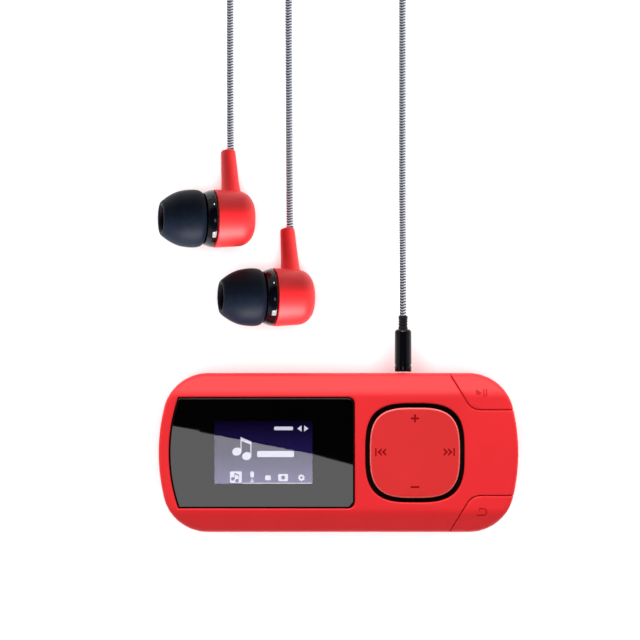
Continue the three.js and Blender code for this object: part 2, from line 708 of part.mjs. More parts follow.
const mainRun = [
  [13.72, 28.9, 10], [13.72, 32, 9.95], [13.72, 36, 9.3], [13.72, 42, 7.4],
  [13.72, 48, 5.1], [13.72, 54, 3.1], [13.73, 60, 1.6], [13.73, 66, FLOOR_Z],
  [13.74, 78, FLOOR_Z], [13.74, 92, FLOOR_Z], [13.75, 105, FLOOR_Z], [13.75, 111, 1.15],
];
const mainTail = [
  [13.75, 123, 4.7], [13.75, 125, 3.4], [13.3, 127.4, 1.9], [12.1, 129.3, 1.2],
  [10.4, 130.2, 1.5], [8.35, SPLITTER.y, SPLITTER.z],
];
const leftRun = [
  [-22.98, 64.5, 1.8], [-23.05, 68, FLOOR_Z + 0.2], [-23.08, 74, FLOOR_Z],
  [-23.1, 90, FLOOR_Z], [-23.1, 105, FLOOR_Z], [-23.1, 111.2, 1.15],
];
const leftTail = [
  [-23.1, 122.8, 2.2], [-23, 125.5, 1.1], [-21.6, 129.4, FLOOR_Z],
  [-17.5, 131.9, FLOOR_Z], [-11, 132.3, FLOOR_Z], [-5, 131.7, 1.3],
  [-1.35, SPLITTER.y + SPLITTER.port, SPLITTER.z],
];
const rightRun = [
  [-10.31, 47.8, 1.8], [-10.38, 51.3, FLOOR_Z + 0.2], [-10.42, 58, FLOOR_Z],
  [-10.5, 74, FLOOR_Z], [-10.58, 90, FLOOR_Z], [-10.6, 105, FLOOR_Z], [-10.6, 111.2, 1.15],
];
const rightTail = [
  [-10.6, 122.8, 2.2], [-10.4, 125.4, 1.2], [-8.6, 128.4, FLOOR_Z + 0.1],
  [-5, 129.5, 1.3], [-1.35, SPLITTER.y - SPLITTER.port, SPLITTER.z],
];

addPart("main_cord_run", cordRun(mainRun), materials.braid());
addPart("main_cord_coil", cordCoil(mainCoilX, MAIN_COIL), materials.braid());
addPart("main_cord_tie", cordTie(mainCoilX, MAIN_COIL, 1), materials.blackPlastic());
addPart("main_cord_tail", cordRun(mainTail), materials.braid());
addPart("cord_splitter", splitter(), materials.glossBlack());
addPart("left_cord_run", cordRun(leftRun), materials.braid());
addPart("left_cord_coil", cordCoil(leftCoilX, BRANCH_COIL), materials.braid());
addPart("left_cord_tie", cordTie(leftCoilX, BRANCH_COIL, -1), materials.blackPlastic());
addPart("left_cord_tail", cordRun(leftTail), materials.braid());
addPart("right_cord_run", cordRun(rightRun), materials.braid());
addPart("right_cord_coil", cordCoil(rightCoilX, BRANCH_COIL), materials.braid());
addPart("right_cord_tie", cordTie(rightCoilX, BRANCH_COIL, 1), materials.blackPlastic());
addPart("right_cord_tail", cordRun(rightTail), materials.braid());

/** Frame of a bud: its local +Y is the bud's axis towards the ear, its local +Z leans up. */
function budFrame(place) {
  const forward = new THREE.Vector3(-Math.cos(BUD_TILT), 0, Math.sin(BUD_TILT));
  const up = new THREE.Vector3(Math.sin(BUD_TILT), 0, Math.cos(BUD_TILT));
  const side = new THREE.Vector3().crossVectors(forward, up);
  return new THREE.Matrix4().makeBasis(side, forward, up).setPosition(place);
}

/** Frame of a bud's stem: its local +Y runs from the bud's axis out through the stem. */
function stemFrame(place) {
  const forward = new THREE.Vector3(-Math.cos(BUD_TILT), 0, Math.sin(BUD_TILT));
  const up = new THREE.Vector3(Math.sin(BUD_TILT), 0, Math.cos(BUD_TILT));
  const across = new THREE.Vector3(0, 1, 0);
  const out = across.multiplyScalar(Math.cos(BUD_ROLL)).addScaledVector(up, -Math.sin(BUD_ROLL));
  const start = place.clone().addScaledVector(forward, BUD_STEM.at);
  const third = new THREE.Vector3().crossVectors(forward, out);
  return new THREE.Matrix4().makeBasis(forward, out, third).setPosition(start);
}

function budHousing(frame) {
  const inner = BUD_RADIUS - 1;
  const back = roundCorner(BUD_BACK_RADIUS - BUD_CORNER, BUD_CORNER, BUD_CORNER, -90, 0, 6);
  return turned(
    [[0, 0], ...back, [BUD_RADIUS, BUD_LENGTH], [inner, BUD_LENGTH], [inner, 4], [2.6, 1], [0, 1]],
    frame,
  );
}

/** The stem meets the housing's side with a small gap, so its foot is hollowed to the housing's shape. */
function budStem(place) {
  const { start, end, baseRadius, tipRadius } = BUD_STEM;
  const profile = [
    [0, start], [baseRadius, start],
    ...roundCorner(tipRadius - 0.4, end - 0.4, 0.4, 0, 90, 3),
    [0, end],
  ];
  const clearance = turned(
    [[0, -1], [BUD_RADIUS + 0.1, -1], [BUD_RADIUS + 0.1, 12], [0, 12]],
    budFrame(place),
    56,
  );
  return cut(turned(profile, stemFrame(place), 20), clearance);
}

function budCollar(frame) {
  const profile = [
    [1.7, BUD_LENGTH + GAP], [BUD_RADIUS - 0.05, BUD_LENGTH + GAP], [5.6, 10.8], [2.6, 10.8],
    [2.6, 15.6], [2.9, 15.9], [2.9, 16.4], [2.5, 16.9], [1.7, 16.9],
  ];
  return turned(profile, frame);
}

function earTip(frame) {
  const profile = [
    [5.2, 11.1], [5.8, 11.1], [6.15, 13], [5.85, 15.8], [5, 17.9], [3.7, 19.8],
    [3.2, 20], [2.7, 19.5], [2.6, 18.1], [3.2, 17.4], [3.2, 15.6], [2.9, 15.2],
    [2.9, 12.4], [3.7, 12.4], [4.2, 16.7], [5.3, 14.6],
  ];
  return turned(profile, frame);
}

for (const [side, place] of Object.entries(BUD_PLACES)) {
  const frame = budFrame(place);
  addPart(`${side}_bud_housing`, budHousing(frame), materials.redPlastic());
  addPart(`${side}_bud_stem`, budStem(place), materials.redPlastic());
  addPart(`${side}_bud_driver`, turned([[0, 4.6], [4.8, 4.6], [4.8, 7.6], [0, 7.6]], frame), materials.steel());
  addPart(`${side}_bud_collar`, budCollar(frame), materials.glossBlack());
  addPart(`${side}_bud_grille`, turned([[0, 16], [1.5, 16], [1.5, 16.3], [0, 16.3]], frame, 16), materials.steel());
  addPart(`${side}_ear_tip`, earTip(frame), materials.silicone());
}

export default group;
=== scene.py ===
"""A clip-on audio player on a pale table with its in-ear headphones plugged in, seen from straight above.

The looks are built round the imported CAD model. Lengths in this file are in millimetres unless a
comment says otherwise, and turn into metres where a mesh is made.
"""
import math

import bmesh
import bpy
import numpy as np
from mathutils import Matrix, Vector
from mathutils.geometry import delaunay_2d_cdt


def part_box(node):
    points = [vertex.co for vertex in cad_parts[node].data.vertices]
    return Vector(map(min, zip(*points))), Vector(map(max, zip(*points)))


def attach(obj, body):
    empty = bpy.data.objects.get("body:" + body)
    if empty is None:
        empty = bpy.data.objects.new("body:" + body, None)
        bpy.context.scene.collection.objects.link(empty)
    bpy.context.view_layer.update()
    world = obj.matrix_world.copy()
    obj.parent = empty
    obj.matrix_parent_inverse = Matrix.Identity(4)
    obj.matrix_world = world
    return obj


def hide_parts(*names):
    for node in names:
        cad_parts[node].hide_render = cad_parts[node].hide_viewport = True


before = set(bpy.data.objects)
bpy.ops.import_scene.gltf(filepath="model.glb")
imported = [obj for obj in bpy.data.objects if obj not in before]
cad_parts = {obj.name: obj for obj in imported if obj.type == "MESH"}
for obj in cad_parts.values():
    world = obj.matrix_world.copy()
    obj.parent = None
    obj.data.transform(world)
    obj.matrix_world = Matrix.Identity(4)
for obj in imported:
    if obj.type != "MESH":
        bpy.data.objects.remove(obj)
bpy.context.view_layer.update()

MM = 0.001


def box_mm(node):
    """A CAD node's lowest and highest corners in millimetres."""
    low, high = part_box(node)
    return low / MM, high / MM


# ---------------------------------------------------------------- sizes

FRONT_LOW, FRONT_HIGH = box_mm("front_cover")
HALF_LENGTH = FRONT_HIGH.x
HALF_WIDTH = FRONT_HIGH.y
FACE_Z = FRONT_HIGH.z
FRONT_RIM_Z = FRONT_LOW.z
LIP_Z = box_mm("rear_cover")[1].z
END_RADIUS = 40.0
CORNER_RADIUS = 9.5
SEAM_GAP = 0.3
REAR_RIM_Z = FRONT_RIM_Z - SEAM_GAP
BACK_Z = 4.5
SHOULDER_Y = 12.5
SHOULDER_SLOPE = math.tan(math.radians(25))
SHOULDER_SOFTNESS = 0.9
EDGE_ROUND = 0.8
WALL = 1.3
REAR_WALL = 2.2
LIP_INSET = 1.6
SKIN = 1.6
FLOOR_THICKNESS = 1.3

WINDOW_LOW, WINDOW_HIGH = box_mm("screen_window")
DISPLAY_LOW, DISPLAY_HIGH = box_mm("display_panel")
WINDOW_BOW = 35.0
WINDOW_CORNER = 1.2
POCKET_Z = 14.1
LEDGE_Z = 13.3
LEDGE_WIDTH = 0.9
# left, right, bottom, top
VIEW_CUTOUT = (-26.9, -4.8, -7.2, 7.4)
LIT_AREA = (-26.2, -5.5, -6.55, 6.75)

PAD_LOW, PAD_HIGH = box_mm("nav_pad")
PAD_X = (PAD_LOW.x + PAD_HIGH.x) / 2
PAD_HALF = (PAD_HIGH.x - PAD_LOW.x) / 2
PAD_GAP = 0.98
PAD_OPENING_HALF = PAD_HALF + PAD_GAP
PAD_POWER = 3.2

BUTTON_ARC_X = 30.0
BUTTON_SEAM_Y = 9.05
BUTTON_ARC_RADIUS = 3.27
BUTTON_DIAGONAL = math.radians(58.8)
BUTTON_TRAVEL_ROOM = 0.5
BUTTON_SHELF_Z = box_mm("play_button")[0].z - BUTTON_TRAVEL_ROOM

SOCKET_LOW, SOCKET_HIGH = box_mm("headphone_socket")
SOCKET_X = (SOCKET_LOW.x + SOCKET_HIGH.x) / 2
SOCKET_Z = (SOCKET_LOW.z + SOCKET_HIGH.z) / 2

CORD_RADIUS = 0.7
CORD_LIFT = 0.05
FLOOR_Z = CORD_LIFT + CORD_RADIUS
MAIN_COIL = {"turn_radius": 8.4, "layers": 4}
BRANCH_COIL = {"turn_radius": 7.7, "layers": 2}
TURNS_PER_LAYER = 3
OUTER_TURN = 3 * CORD_RADIUS
COIL_BOTTOM_Z = 0.7
COIL_CENTRE_Y = 117.0
POINTS_PER_TURN = 28
CLIMB_TURNS = 0.35

TABLE_REACH = 1500
TABLE_Z = -0.02
TINY = 1e-6

# ---------------------------------------------------------------- camera, floor, lights

VIEW_WIDTH = 135.1
VIEW_CENTRE = Vector((-3.9, 28.05))
CAMERA_HEIGHT = 1150.0
SENSOR = 36.0
WORLD_STRENGTH = 0.72
# Heights of a direction, from 0 at the horizon to 1 overhead.
WORLD_DARK_ABOVE = 0.82
WORLD_LIGHT_BELOW = 0.5
PLAYER_AIM = (0, 20, 0)
BUD_AIM = (-12, 42, 5)
CORD_AIM = (0, 70, 1)
TABLE_AIM = (0, 0, 0)


def add_camera():
    """Straight down on the player, its face filling the stated width of the view."""
    data = bpy.data.cameras.new("camera")
    data.sensor_width = SENSOR
    data.lens = SENSOR * (CAMERA_HEIGHT - FACE_Z) / VIEW_WIDTH
    data.clip_start = 0.01
    data.clip_end = 20
    camera = bpy.data.objects.new("camera", data)
    camera.location = Vector((VIEW_CENTRE.x, VIEW_CENTRE.y, CAMERA_HEIGHT)) * MM
    bpy.context.scene.collection.objects.link(camera)
    bpy.context.scene.camera = camera


def area_light(name, place_mm, size, watts):
    """A rectangular light that faces down; place and size are in millimetres."""
    data = bpy.data.lights.new(name, "AREA")
    data.shape = "RECTANGLE"
    data.size = size[0] * MM
    data.size_y = size[1] * MM
    data.energy = watts
    light = bpy.data.objects.new(name, data)
    light.location = Vector(place_mm) * MM
    bpy.context.scene.collection.objects.link(light)
    return light


def aimed_light(name, place_mm, size, watts, aim_mm):
    """A rectangular light that faces a point."""
    light = area_light(name, place_mm, size, watts)
    direction = (Vector(aim_mm) - Vector(place_mm)).normalized()
    light.rotation_euler = direction.to_track_quat("-Z", "Y").to_euler()
    return light


def light_only(light, pieces):
    """Keeps a light to some pieces; the others still cast its shadows."""
    chosen = bpy.data.collections.new(f"{light.name}_receivers")
    for piece in pieces:
        chosen.objects.link(piece)
    light.light_linking.receiver_collection = chosen


def set_world():
    """Soft light from all round, but none from overhead, so that flat gloss looks dark from above."""
    world = bpy.data.worlds.new("studio")
    bpy.context.scene.world = world
    world.use_nodes = True
    nodes, links = world.node_tree.nodes, world.node_tree.links
    background = nodes["Background"]
    background.inputs["Color"].default_value = (1, 1, 1, 1)
    direction = nodes.new("ShaderNodeTexCoord").outputs["Generated"]
    parts = nodes.new("ShaderNodeSeparateXYZ")
    fade = nodes.new("ShaderNodeMapRange")
    fade.interpolation_type = "SMOOTHSTEP"
    fade.inputs["From Min"].default_value = WORLD_DARK_ABOVE
    fade.inputs["From Max"].default_value = WORLD_LIGHT_BELOW
    fade.inputs["To Max"].default_value = WORLD_STRENGTH
    links.new(direction, parts.inputs["Vector"])
    links.new(parts.outputs["Z"], fade.inputs["Value"])
    links.new(fade.outputs["Result"], background.inputs["Strength"])


GLARE_HEIGHT = 1500.0
GLARE_SIZE = (430.0, 300.0)
GLARE_RADIANCE = 2.7
GLARE_EDGE = (Vector((-35.2, 5.55)), Vector((3.2, -1.96)))


def add_glare_card():
    """A card overhead that the window mirrors below a slanting line, given by two points on it."""
    gain = (GLARE_HEIGHT - WINDOW_HIGH.z) / (CAMERA_HEIGHT - WINDOW_HIGH.z)
    left, right = [point + (point - VIEW_CENTRE) * gain for point in GLARE_EDGE]
    along = (right - left).normalized()
    across = Vector((along.y, -along.x))
    middle = (left + right) / 2 + across * GLARE_SIZE[1] / 2
    watts = GLARE_RADIANCE * math.pi * GLARE_SIZE[0] * GLARE_SIZE[1] * MM**2
    card = area_light("glare_card", (middle.x, middle.y, GLARE_HEIGHT), GLARE_SIZE, watts)
    card.rotation_euler = (0, 0, math.atan2(along.y, along.x))


# ---------------------------------------------------------------- materials


class Graph:
    """A material and short ways to add nodes to it."""

    def __init__(self, name):
        self.material = bpy.data.materials.new(name)
        self.material.use_nodes = True
        self.nodes = self.material.node_tree.nodes
        self.links = self.material.node_tree.links
        self.shader = self.nodes["Principled BSDF"]

    def add(self, kind, inputs=None, **settings):
        """A new node; inputs maps a socket's name or number to a value or to another node's socket."""
        node = self.nodes.new(kind)
        for key, value in settings.items():
            setattr(node, key, value)
        for key, value in (inputs or {}).items():
            self.put(node.inputs[key], value)
        return node

    def put(self, socket, value):
        if isinstance(value, bpy.types.NodeSocket):
            self.links.new(value, socket)
        else:
            socket.default_value = value

    def maths(self, operation, *values):
        node = self.add("ShaderNodeMath", operation=operation)
        for socket, value in zip(node.inputs, values):
            self.put(socket, value)
        return node.outputs[0]

    def own_place(self):
        """Places on the object, in its own metres."""
        return self.add("ShaderNodeTexCoord").outputs["Object"]

    def noise(self, scale, detail=2.0, roughness=0.5):
        inputs = {"Scale": scale, "Detail": detail, "Roughness": roughness, "Vector": self.own_place()}
        return self.add("ShaderNodeTexNoise", inputs).outputs["Fac"]

    def ramp(self, factor, *stops):
        """A colour ramp through (position, colour) stops."""
        node = self.add("ShaderNodeValToRGB", {"Fac": factor})
        elements = node.color_ramp.elements
        while len(elements) < len(stops):
            elements.new(0.5)
        for element, (position, colour) in zip(elements, stops):
            element.position = position
            element.color = (*colour, 1)
        return node.outputs["Color"]

    def tint(self, factor, colour, darkest, lightest, start=0.3, end=0.7):
        """A colour that varies between two multiples of itself."""
        return self.ramp(factor, (start, scaled(colour, darkest)), (end, scaled(colour, lightest)))

    def spread(self, factor, low, high):
        """The factor, mapped from 0..1 to low..high."""
        node = self.add("ShaderNodeMapRange", {"Value": factor, "To Min": low, "To Max": high})
        return node.outputs["Result"]

    def bump(self, height, full_step):
        """A bumpy surface; full_step is the height in metres that a height of 1 stands for."""
        return self.add("ShaderNodeBump", {"Height": height, "Distance": full_step}).outputs["Normal"]

    def set(self, **values):
        """Values or links for the shader's sockets, with spaces written as underscores."""
        for key, value in values.items():
            self.put(self.shader.inputs[key.replace("_", " ")], value)
        return self


def srgb(red, green, blue):
    """Linear colour from 0-255 display values."""
    def linear(value):
        value /= 255
        return value / 12.92 if value <= 0.04045 else ((value + 0.055) / 1.055) ** 2.4
    return (linear(red), linear(green), linear(blue))


def scaled(colour, factor):
    return tuple(channel * factor for channel in colour)


def soft_touch(name, colour, roughness=0.5, specular=0.3):
    """Rubberised plastic: a very fine grain, with a soft sheen and faint cloudiness."""
    g = Graph(name)
    fine = g.noise(9000, 2, 0.6)
    g.set(Base_Color=g.tint(g.noise(60, 3), colour, 0.97, 1.03))
    g.set(Roughness=g.spread(fine, roughness - 0.04, roughness + 0.04))
    g.set(Normal=g.bump(fine, 6e-6), Specular_IOR_Level=specular)
    return g.material


def hard_plastic(name, colour, roughness=0.35, grain=2e-6, specular=0.5):
    """Moulded plastic with a slight moulding texture and uneven gloss."""
    g = Graph(name)
    smear = g.noise(150, 3)
    g.set(Base_Color=g.tint(smear, colour, 0.9, 1.1))
    g.set(Roughness=g.spread(smear, roughness * 0.85, roughness * 1.15))
    g.set(Normal=g.bump(g.noise(4000, 3, 0.6), grain), Specular_IOR_Level=specular)
    return g.material


def metal(name, colour, roughness=0.3, scale=1500):
    """Bright metal with fine drawing marks."""
    g = Graph(name)
    marks = g.noise(scale, 4, 0.7)
    g.set(Base_Color=g.tint(marks, colour, 0.88, 1.0, 0.2, 0.8), Metallic=1.0)
    g.set(Roughness=g.spread(marks, roughness * 0.8, roughness * 1.25))
    g.set(Normal=g.bump(marks, 1e-6))
    return g.material


def braided(name, dark, light, columns=3.0, period=0.42, dark_share=0.47):
    """A round herringbone braid of pale yarn with dark flecks; the pale yarn has painted shade where it
    dips between yarns.

    columns are the zigzags round the cord; period is the flecks' spacing along it, in diameters.
    """
    g = Graph(name)
    uv = g.add("ShaderNodeUVMap", uv_map="along").outputs["UV"]
    parts = g.add("ShaderNodeSeparateXYZ", {"Vector": uv})
    across = g.maths("PINGPONG", g.maths("MULTIPLY", parts.outputs["X"], 2 * columns), 1.0)
    along = g.maths("MULTIPLY", parts.outputs["Y"], 1 / period)
    phase = g.maths("FRACT", g.maths("ADD", along, g.maths("MULTIPLY", across, 0.5)))
    yarn_rise_and_painted_shade = g.maths("SINE", g.maths("MULTIPLY", phase, math.pi))
    yarn = g.maths("GREATER_THAN", phase, dark_share)
    fibre = g.spread(g.noise(14000, 2), -0.1, 0.1)
    # The pale yarn's tone falls from 0.9 to 0.7 where its rise falls away: painted shade between the
    # yarns.
    tone = g.maths("ADD", g.maths("MULTIPLY", yarn, g.spread(yarn_rise_and_painted_shade, 0.7, 0.9)), fibre)
    g.set(Base_Color=g.ramp(tone, (0.1, dark), (0.85, light)), Roughness=0.8)
    g.set(Normal=g.bump(yarn_rise_and_painted_shade, 6e-5), Sheen_Weight=0.1, Sheen_Roughness=0.4)
    g.set(Specular_IOR_Level=0.2)
    return g.material


def silicone(name, colour):
    """Matt silicone with a little dust-grey bloom."""
    g = Graph(name)
    bloom = g.noise(700, 4, 0.65)
    g.set(Base_Color=g.tint(bloom, colour, 0.85, 1.25, 0.35, 0.7))
    g.set(Roughness=g.spread(bloom, 0.45, 0.58), Normal=g.bump(g.noise(5000, 2), 3e-6))
    g.set(Specular_IOR_Level=0.08)
    return g.material


def bud_red(name, colour):
    """Satin red plastic."""
    g = Graph(name)
    fine = g.noise(6000, 2, 0.6)
    g.set(Base_Color=g.tint(g.noise(90, 3), colour, 0.96, 1.04))
    g.set(Roughness=g.spread(fine, 0.5, 0.58), Normal=g.bump(fine, 2e-6), Specular_IOR_Level=0.5)
    return g.material


def clear_window(name):
    """Clear acrylic with hardly any haze."""
    g = Graph(name)
    haze = g.noise(500, 2)
    g.set(Base_Color=(1, 1, 1, 1), Transmission_Weight=1.0, IOR=1.49)
    g.set(Roughness=g.spread(haze, 0.0, 0.006))
    return g.material


def lit_screen(name):
    """A lit display: indigo at its top, paler violet at its bottom."""
    g = Graph(name)
    parts = g.add("ShaderNodeSeparateXYZ", {"Vector": g.own_place()})
    bottom, top = LIT_AREA[2:]
    inputs = {"Value": parts.outputs["Y"], "From Min": top * MM, "From Max": bottom * MM}
    down = g.add("ShaderNodeMapRange", inputs).outputs["Result"]
    tones = (0.0, srgb(8, 2, 26)), (0.5, srgb(30, 22, 74)), (1.0, srgb(98, 90, 138))
    g.set(Base_Color=(0.001, 0.001, 0.002, 1))
    g.set(Emission_Color=g.ramp(down, *tones), Emission_Strength=1.0)
    g.set(Roughness=0.6, Specular_IOR_Level=0.02)
    return g.material


def lit_glyph(name):
    """The lit white of signs on the display."""
    g = Graph(name)
    grain = g.noise(3000, 2)
    tone = g.ramp(grain, (0.3, srgb(205, 205, 222)), (0.7, srgb(222, 222, 236)))
    g.set(Base_Color=(0.01, 0.01, 0.01, 1), Emission_Color=tone, Emission_Strength=1.0)
    return g.material


def wire_mesh(name):
    """Fine steel gauze, its openings painted dark as the shade behind them."""
    g = Graph(name)
    inputs = {"Vector": g.own_place(), "Scale": 2800.0}
    cells = g.add("ShaderNodeTexVoronoi", inputs).outputs["Distance"]
    # Near black at each cell's middle is painted shade in the openings.
    g.set(Base_Color=g.ramp(cells, (0.25, (0.02, 0.02, 0.02)), (0.4, (0.5, 0.5, 0.52))))
    g.set(Metallic=0.8, Roughness=0.4)
    return g.material


def table_top(name):
    """A matt, nearly white surface."""
    g = Graph(name)
    tone = g.ramp(g.noise(40, 3), (0.2, (0.94, 0.94, 0.94)), (0.8, (0.96, 0.96, 0.96)))
    g.set(Base_Color=tone, Roughness=0.8, Specular_IOR_Level=0.1)
    return g.material


RED = srgb(240, 38, 44)

MATERIALS = {
    "red": soft_touch("red_soft_touch", RED),
    "pad": soft_touch("pad_soft_touch", srgb(226, 42, 44)),
    # A paler red painted on the pad's edge band as a highlight.
    "pad_rim_painted_highlight": soft_touch("pad_rim_painted_highlight", srgb(255, 128, 122), 0.35),
    # Darker reds painted into the pressed signs as the shade in their hollows.
    "sign": soft_touch("pressed_sign_painted_shade", srgb(160, 2, 8), 0.7, specular=0.1),
    "faint_sign_painted_shade": soft_touch("faint_sign_painted_shade", srgb(205, 20, 27), 0.6, specular=0.2),
    # Matt black; in the ear tips' mouths it is painted shade.
    "matt_black_and_painted_shade": hard_plastic("matt_black_and_painted_shade", (0.005, 0.001, 0.001), 0.7, specular=0.12),
    "black": hard_plastic("black_plastic", (0.005, 0.005, 0.008), 0.4, 2e-6, 0.3),
    "gloss": hard_plastic("gloss_black", (0.0025, 0.0025, 0.004), 0.1, 3e-7, 0.2),
    "window": hard_plastic("window_print", (0.0008, 0.0008, 0.001), 0.008, 0),
    "board": hard_plastic("board_mask", (0.01, 0.08, 0.04), 0.4),
    "chip": hard_plastic("chip_package", (0.015, 0.015, 0.016), 0.6),
    "polyimide": hard_plastic("ribbon_film", (0.45, 0.17, 0.03), 0.3),
    "foil": metal("battery_foil", (0.55, 0.56, 0.58), 0.4, 600),
    "steel": metal("steel", (0.6, 0.6, 0.62), 0.3),
    "gold": metal("gold_plate", (0.75, 0.52, 0.2), 0.25),
    "silicone": silicone("ear_tip_silicone", (0.0042, 0.0075, 0.016)),
    "bud_red": bud_red("bud_red", srgb(246, 28, 33)),
    "collar": hard_plastic("collar_gloss", (0.002, 0.002, 0.004), 0.06, 2e-7, 0.3),
    "clear": clear_window("clear_window"),
    "screen": lit_screen("lit_screen"),
    "glyph": lit_glyph("lit_glyph"),
    "mesh": wire_mesh("grille_mesh_painted_shade"),
    "braid": braided("cord_braid", (0.012, 0.012, 0.03), (0.8, 0.83, 0.9)),
    "table": table_top("table_top"),
}

# ---------------------------------------------------------------- mesh building


def mesh_object(name, vertices, faces, materials, smooth_angle=None, indices=None):
    """A mesh object from millimetre points. smooth_angle in degrees keeps sharper edges crisp."""
    mesh = bpy.data.meshes.new(name)
    mesh.from_pydata([tuple(c * MM for c in v) for v in vertices], [], faces)
    for material in materials:
        mesh.materials.append(material)
    if indices is not None:
        mesh.polygons.foreach_set("material_index", indices)
    piece = bpy.data.objects.new(name, mesh)
    bpy.context.scene.collection.objects.link(piece)
    if smooth_angle is not None:
        mesh.shade_smooth()
        mesh.set_sharp_from_angle(angle=math.radians(smooth_angle))
    return piece


def place(piece, body, slot, *nodes):
    """Says which body a piece moves with and the CAD nodes that it stands for, which it hides; slot, its
    finish, is not used.
    """
    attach(piece, body)
    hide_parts(*nodes)
    return piece


def weight_normals(piece):
    """Keeps large flat faces flat beside small rounded edges."""
    modifier = piece.modifiers.new("weighted", "WEIGHTED_NORMAL")
    modifier.keep_sharp = True
    modifier.weight = 90
    return piece


def ring(middle, radius, first, second, sides):
    """Points of a circle in the plane of two unit directions."""
    angles = [2 * math.pi * j / sides for j in range(sides)]
    return [middle + radius * (math.cos(a) * first + math.sin(a) * second) for a in angles]


def loft(rings):
    """Vertices and faces of a skin over rings of equally many points, closed at both ends."""
    count = len(rings[0])
    vertices = [tuple(p) for points in rings for p in points]
    faces = []
    for a in range(0, len(vertices) - count, count):
        b = a + count
        for j in range(count):
            k = (j + 1) % count
            faces.append((a + j, a + k, b + k, b + j))
    faces.append(tuple(reversed(range(count))))
    faces.append(tuple(range(len(vertices) - count, len(vertices))))
    return vertices, faces


def revolve(name, profile, matrix, materials, sides=64, smooth_angle=40, second=()):
    """A turned piece from a closed [radius, along] profile, turned about the matrix's Y axis.

    The profile's steps that are named in second have the second material.
    """
    vertices, faces, indices, rows = [], [], [], []
    for radius, along in profile:
        if radius < TINY:
            rows.append([len(vertices)] * sides)
            vertices.append(matrix @ Vector((0, along, 0)))
            continue
        rows.append(list(range(len(vertices), len(vertices) + sides)))
        for j in range(sides):
            angle = 2 * math.pi * j / sides
            vertices.append(matrix @ Vector((radius * math.cos(angle), along, radius * math.sin(angle))))
    hollow = profile[0][0] > TINY
    for i in range(len(rows) if hollow else len(rows) - 1):
        a, b = rows[i], rows[(i + 1) % len(rows)]
        for j in range(sides):
            k = (j + 1) % sides
            corners = list(dict.fromkeys((a[j], b[j], b[k], a[k])))
            if len(corners) > 2:
                faces.append(tuple(corners))
                indices.append(1 if i in second else 0)
    return mesh_object(name, vertices, faces, materials, smooth_angle, indices)


def arc(centre, radius, start, end, steps):
    """Points along an arc; angles in radians."""
    angles = [start + (end - start) * i / steps for i in range(steps + 1)]
    return [(centre[0] + radius * math.cos(a), centre[1] + radius * math.sin(a)) for a in angles]


def smooth_path(points, step):
    """A centripetal Catmull-Rom curve through the points, sampled about every step millimetres."""
    points = [Vector(p) for p in points]
    ends = [2 * points[0] - points[1], *points, 2 * points[-1] - points[-2]]
    path = []
    for p0, p1, p2, p3 in zip(ends, ends[1:], ends[2:], ends[3:]):
        knots = [0.0]
        for a, b in ((p0, p1), (p1, p2), (p2, p3)):
            knots.append(knots[-1] + max((b - a).length, 1e-6) ** 0.5)
        t0, t1, t2, t3 = knots
        count = max(1, round((p2 - p1).length / step))
        for i in range(count):
            t = t1 + (t2 - t1) * i / count
            a1 = p0.lerp(p1, (t - t0) / (t1 - t0))
            a2 = p1.lerp(p2, (t - t1) / (t2 - t1))
            a3 = p2.lerp(p3, (t - t2) / (t3 - t2))
            b1 = a1.lerp(a2, (t - t0) / (t2 - t0))
            b2 = a2.lerp(a3, (t - t1) / (t3 - t1))
            path.append(b1.lerp(b2, (t - t1) / (t2 - t1)))
    path.append(points[-1])
    return path


def tube(name, path, radius, material, sides=16):
    """A round tube along a path, with a UV map of turns round it and diameters along it."""
    tangents = [(b - a).normalized() for a, b in zip(path, path[1:])]
    tangents.append(tangents[-1])
    side = tangents[0].orthogonal().normalized()
    rings, distances, travelled = [], [], 0.0
    for i, (point, tangent) in enumerate(zip(path, tangents)):
        side = (side - tangent * side.dot(tangent)).normalized()
        rings.append(ring(point, radius, side, tangent.cross(side), sides))
        travelled += (path[i] - path[i - 1]).length if i else 0.0
        distances.append(travelled / (2 * radius))
    vertices, faces = loft(rings)
    piece = mesh_object(name, vertices, faces, [material], 60)
    layer = piece.data.uv_layers.new(name="along")
    for polygon in piece.data.polygons:
        if len(polygon.vertices) != 4:
            continue
        columns = [v % sides for v in polygon.vertices]
        wraps = max(columns) - min(columns) > 1
        for loop, vertex, column in zip(polygon.loop_indices, polygon.vertices, columns):
            turn = 1.0 if wraps and column == 0 else column / sides
            layer.data[loop].uv = (turn, distances[vertex // sides])
    return piece


# ---------------------------------------------------------------- flat regions and reliefs

SHARPEST_MITRE = 0.3
RELIEF_SHARP_ANGLE = 35


def loop_array(points):
    return np.array([tuple(p)[:2] for p in points], dtype=float)


def inside(points, loop):
    """Which of the points lie in a closed loop."""
    x, y = points[:, 0][:, None], points[:, 1][:, None]
    x0, y0 = loop[:, 0][None, :], loop[:, 1][None, :]
    x1, y1 = np.roll(loop[:, 0], -1)[None, :], np.roll(loop[:, 1], -1)[None, :]
    crosses = (y0 > y) != (y1 > y)
    rise = np.where(y1 == y0, 1e-12, y1 - y0)
    return (np.sum(crosses & (x < x0 + (y - y0) * (x1 - x0) / rise), axis=1) % 2) == 1


def in_any(points, loops):
    return np.any([inside(points, loop) for loop in loops], axis=0)


def distance(points, loop):
    """How far each point is from a closed loop."""
    start, end = loop, np.roll(loop, -1, axis=0)
    along = end - start
    gap = points[:, None, :] - start[None, :, :]
    share = np.sum(gap * along[None], axis=2) / np.maximum(np.sum(along**2, axis=1), 1e-12)[None]
    nearest = gap - np.clip(share, 0, 1)[:, :, None] * along[None]
    return np.sqrt(np.min(np.sum(nearest**2, axis=2), axis=1))


def rounding(gap, radius):
    """How far a rounded edge of a radius has dropped at a distance from the edge."""
    reach = np.clip(radius - gap, 0, radius)
    return radius - np.sqrt(radius**2 - reach**2)


def fillet_insets(radius, steps=5):
    """Distances from an edge at which a rounded edge turns by equal angles."""
    return [radius * (1 - math.cos(math.pi / 2 * i / steps)) for i in range(1, steps + 1)]


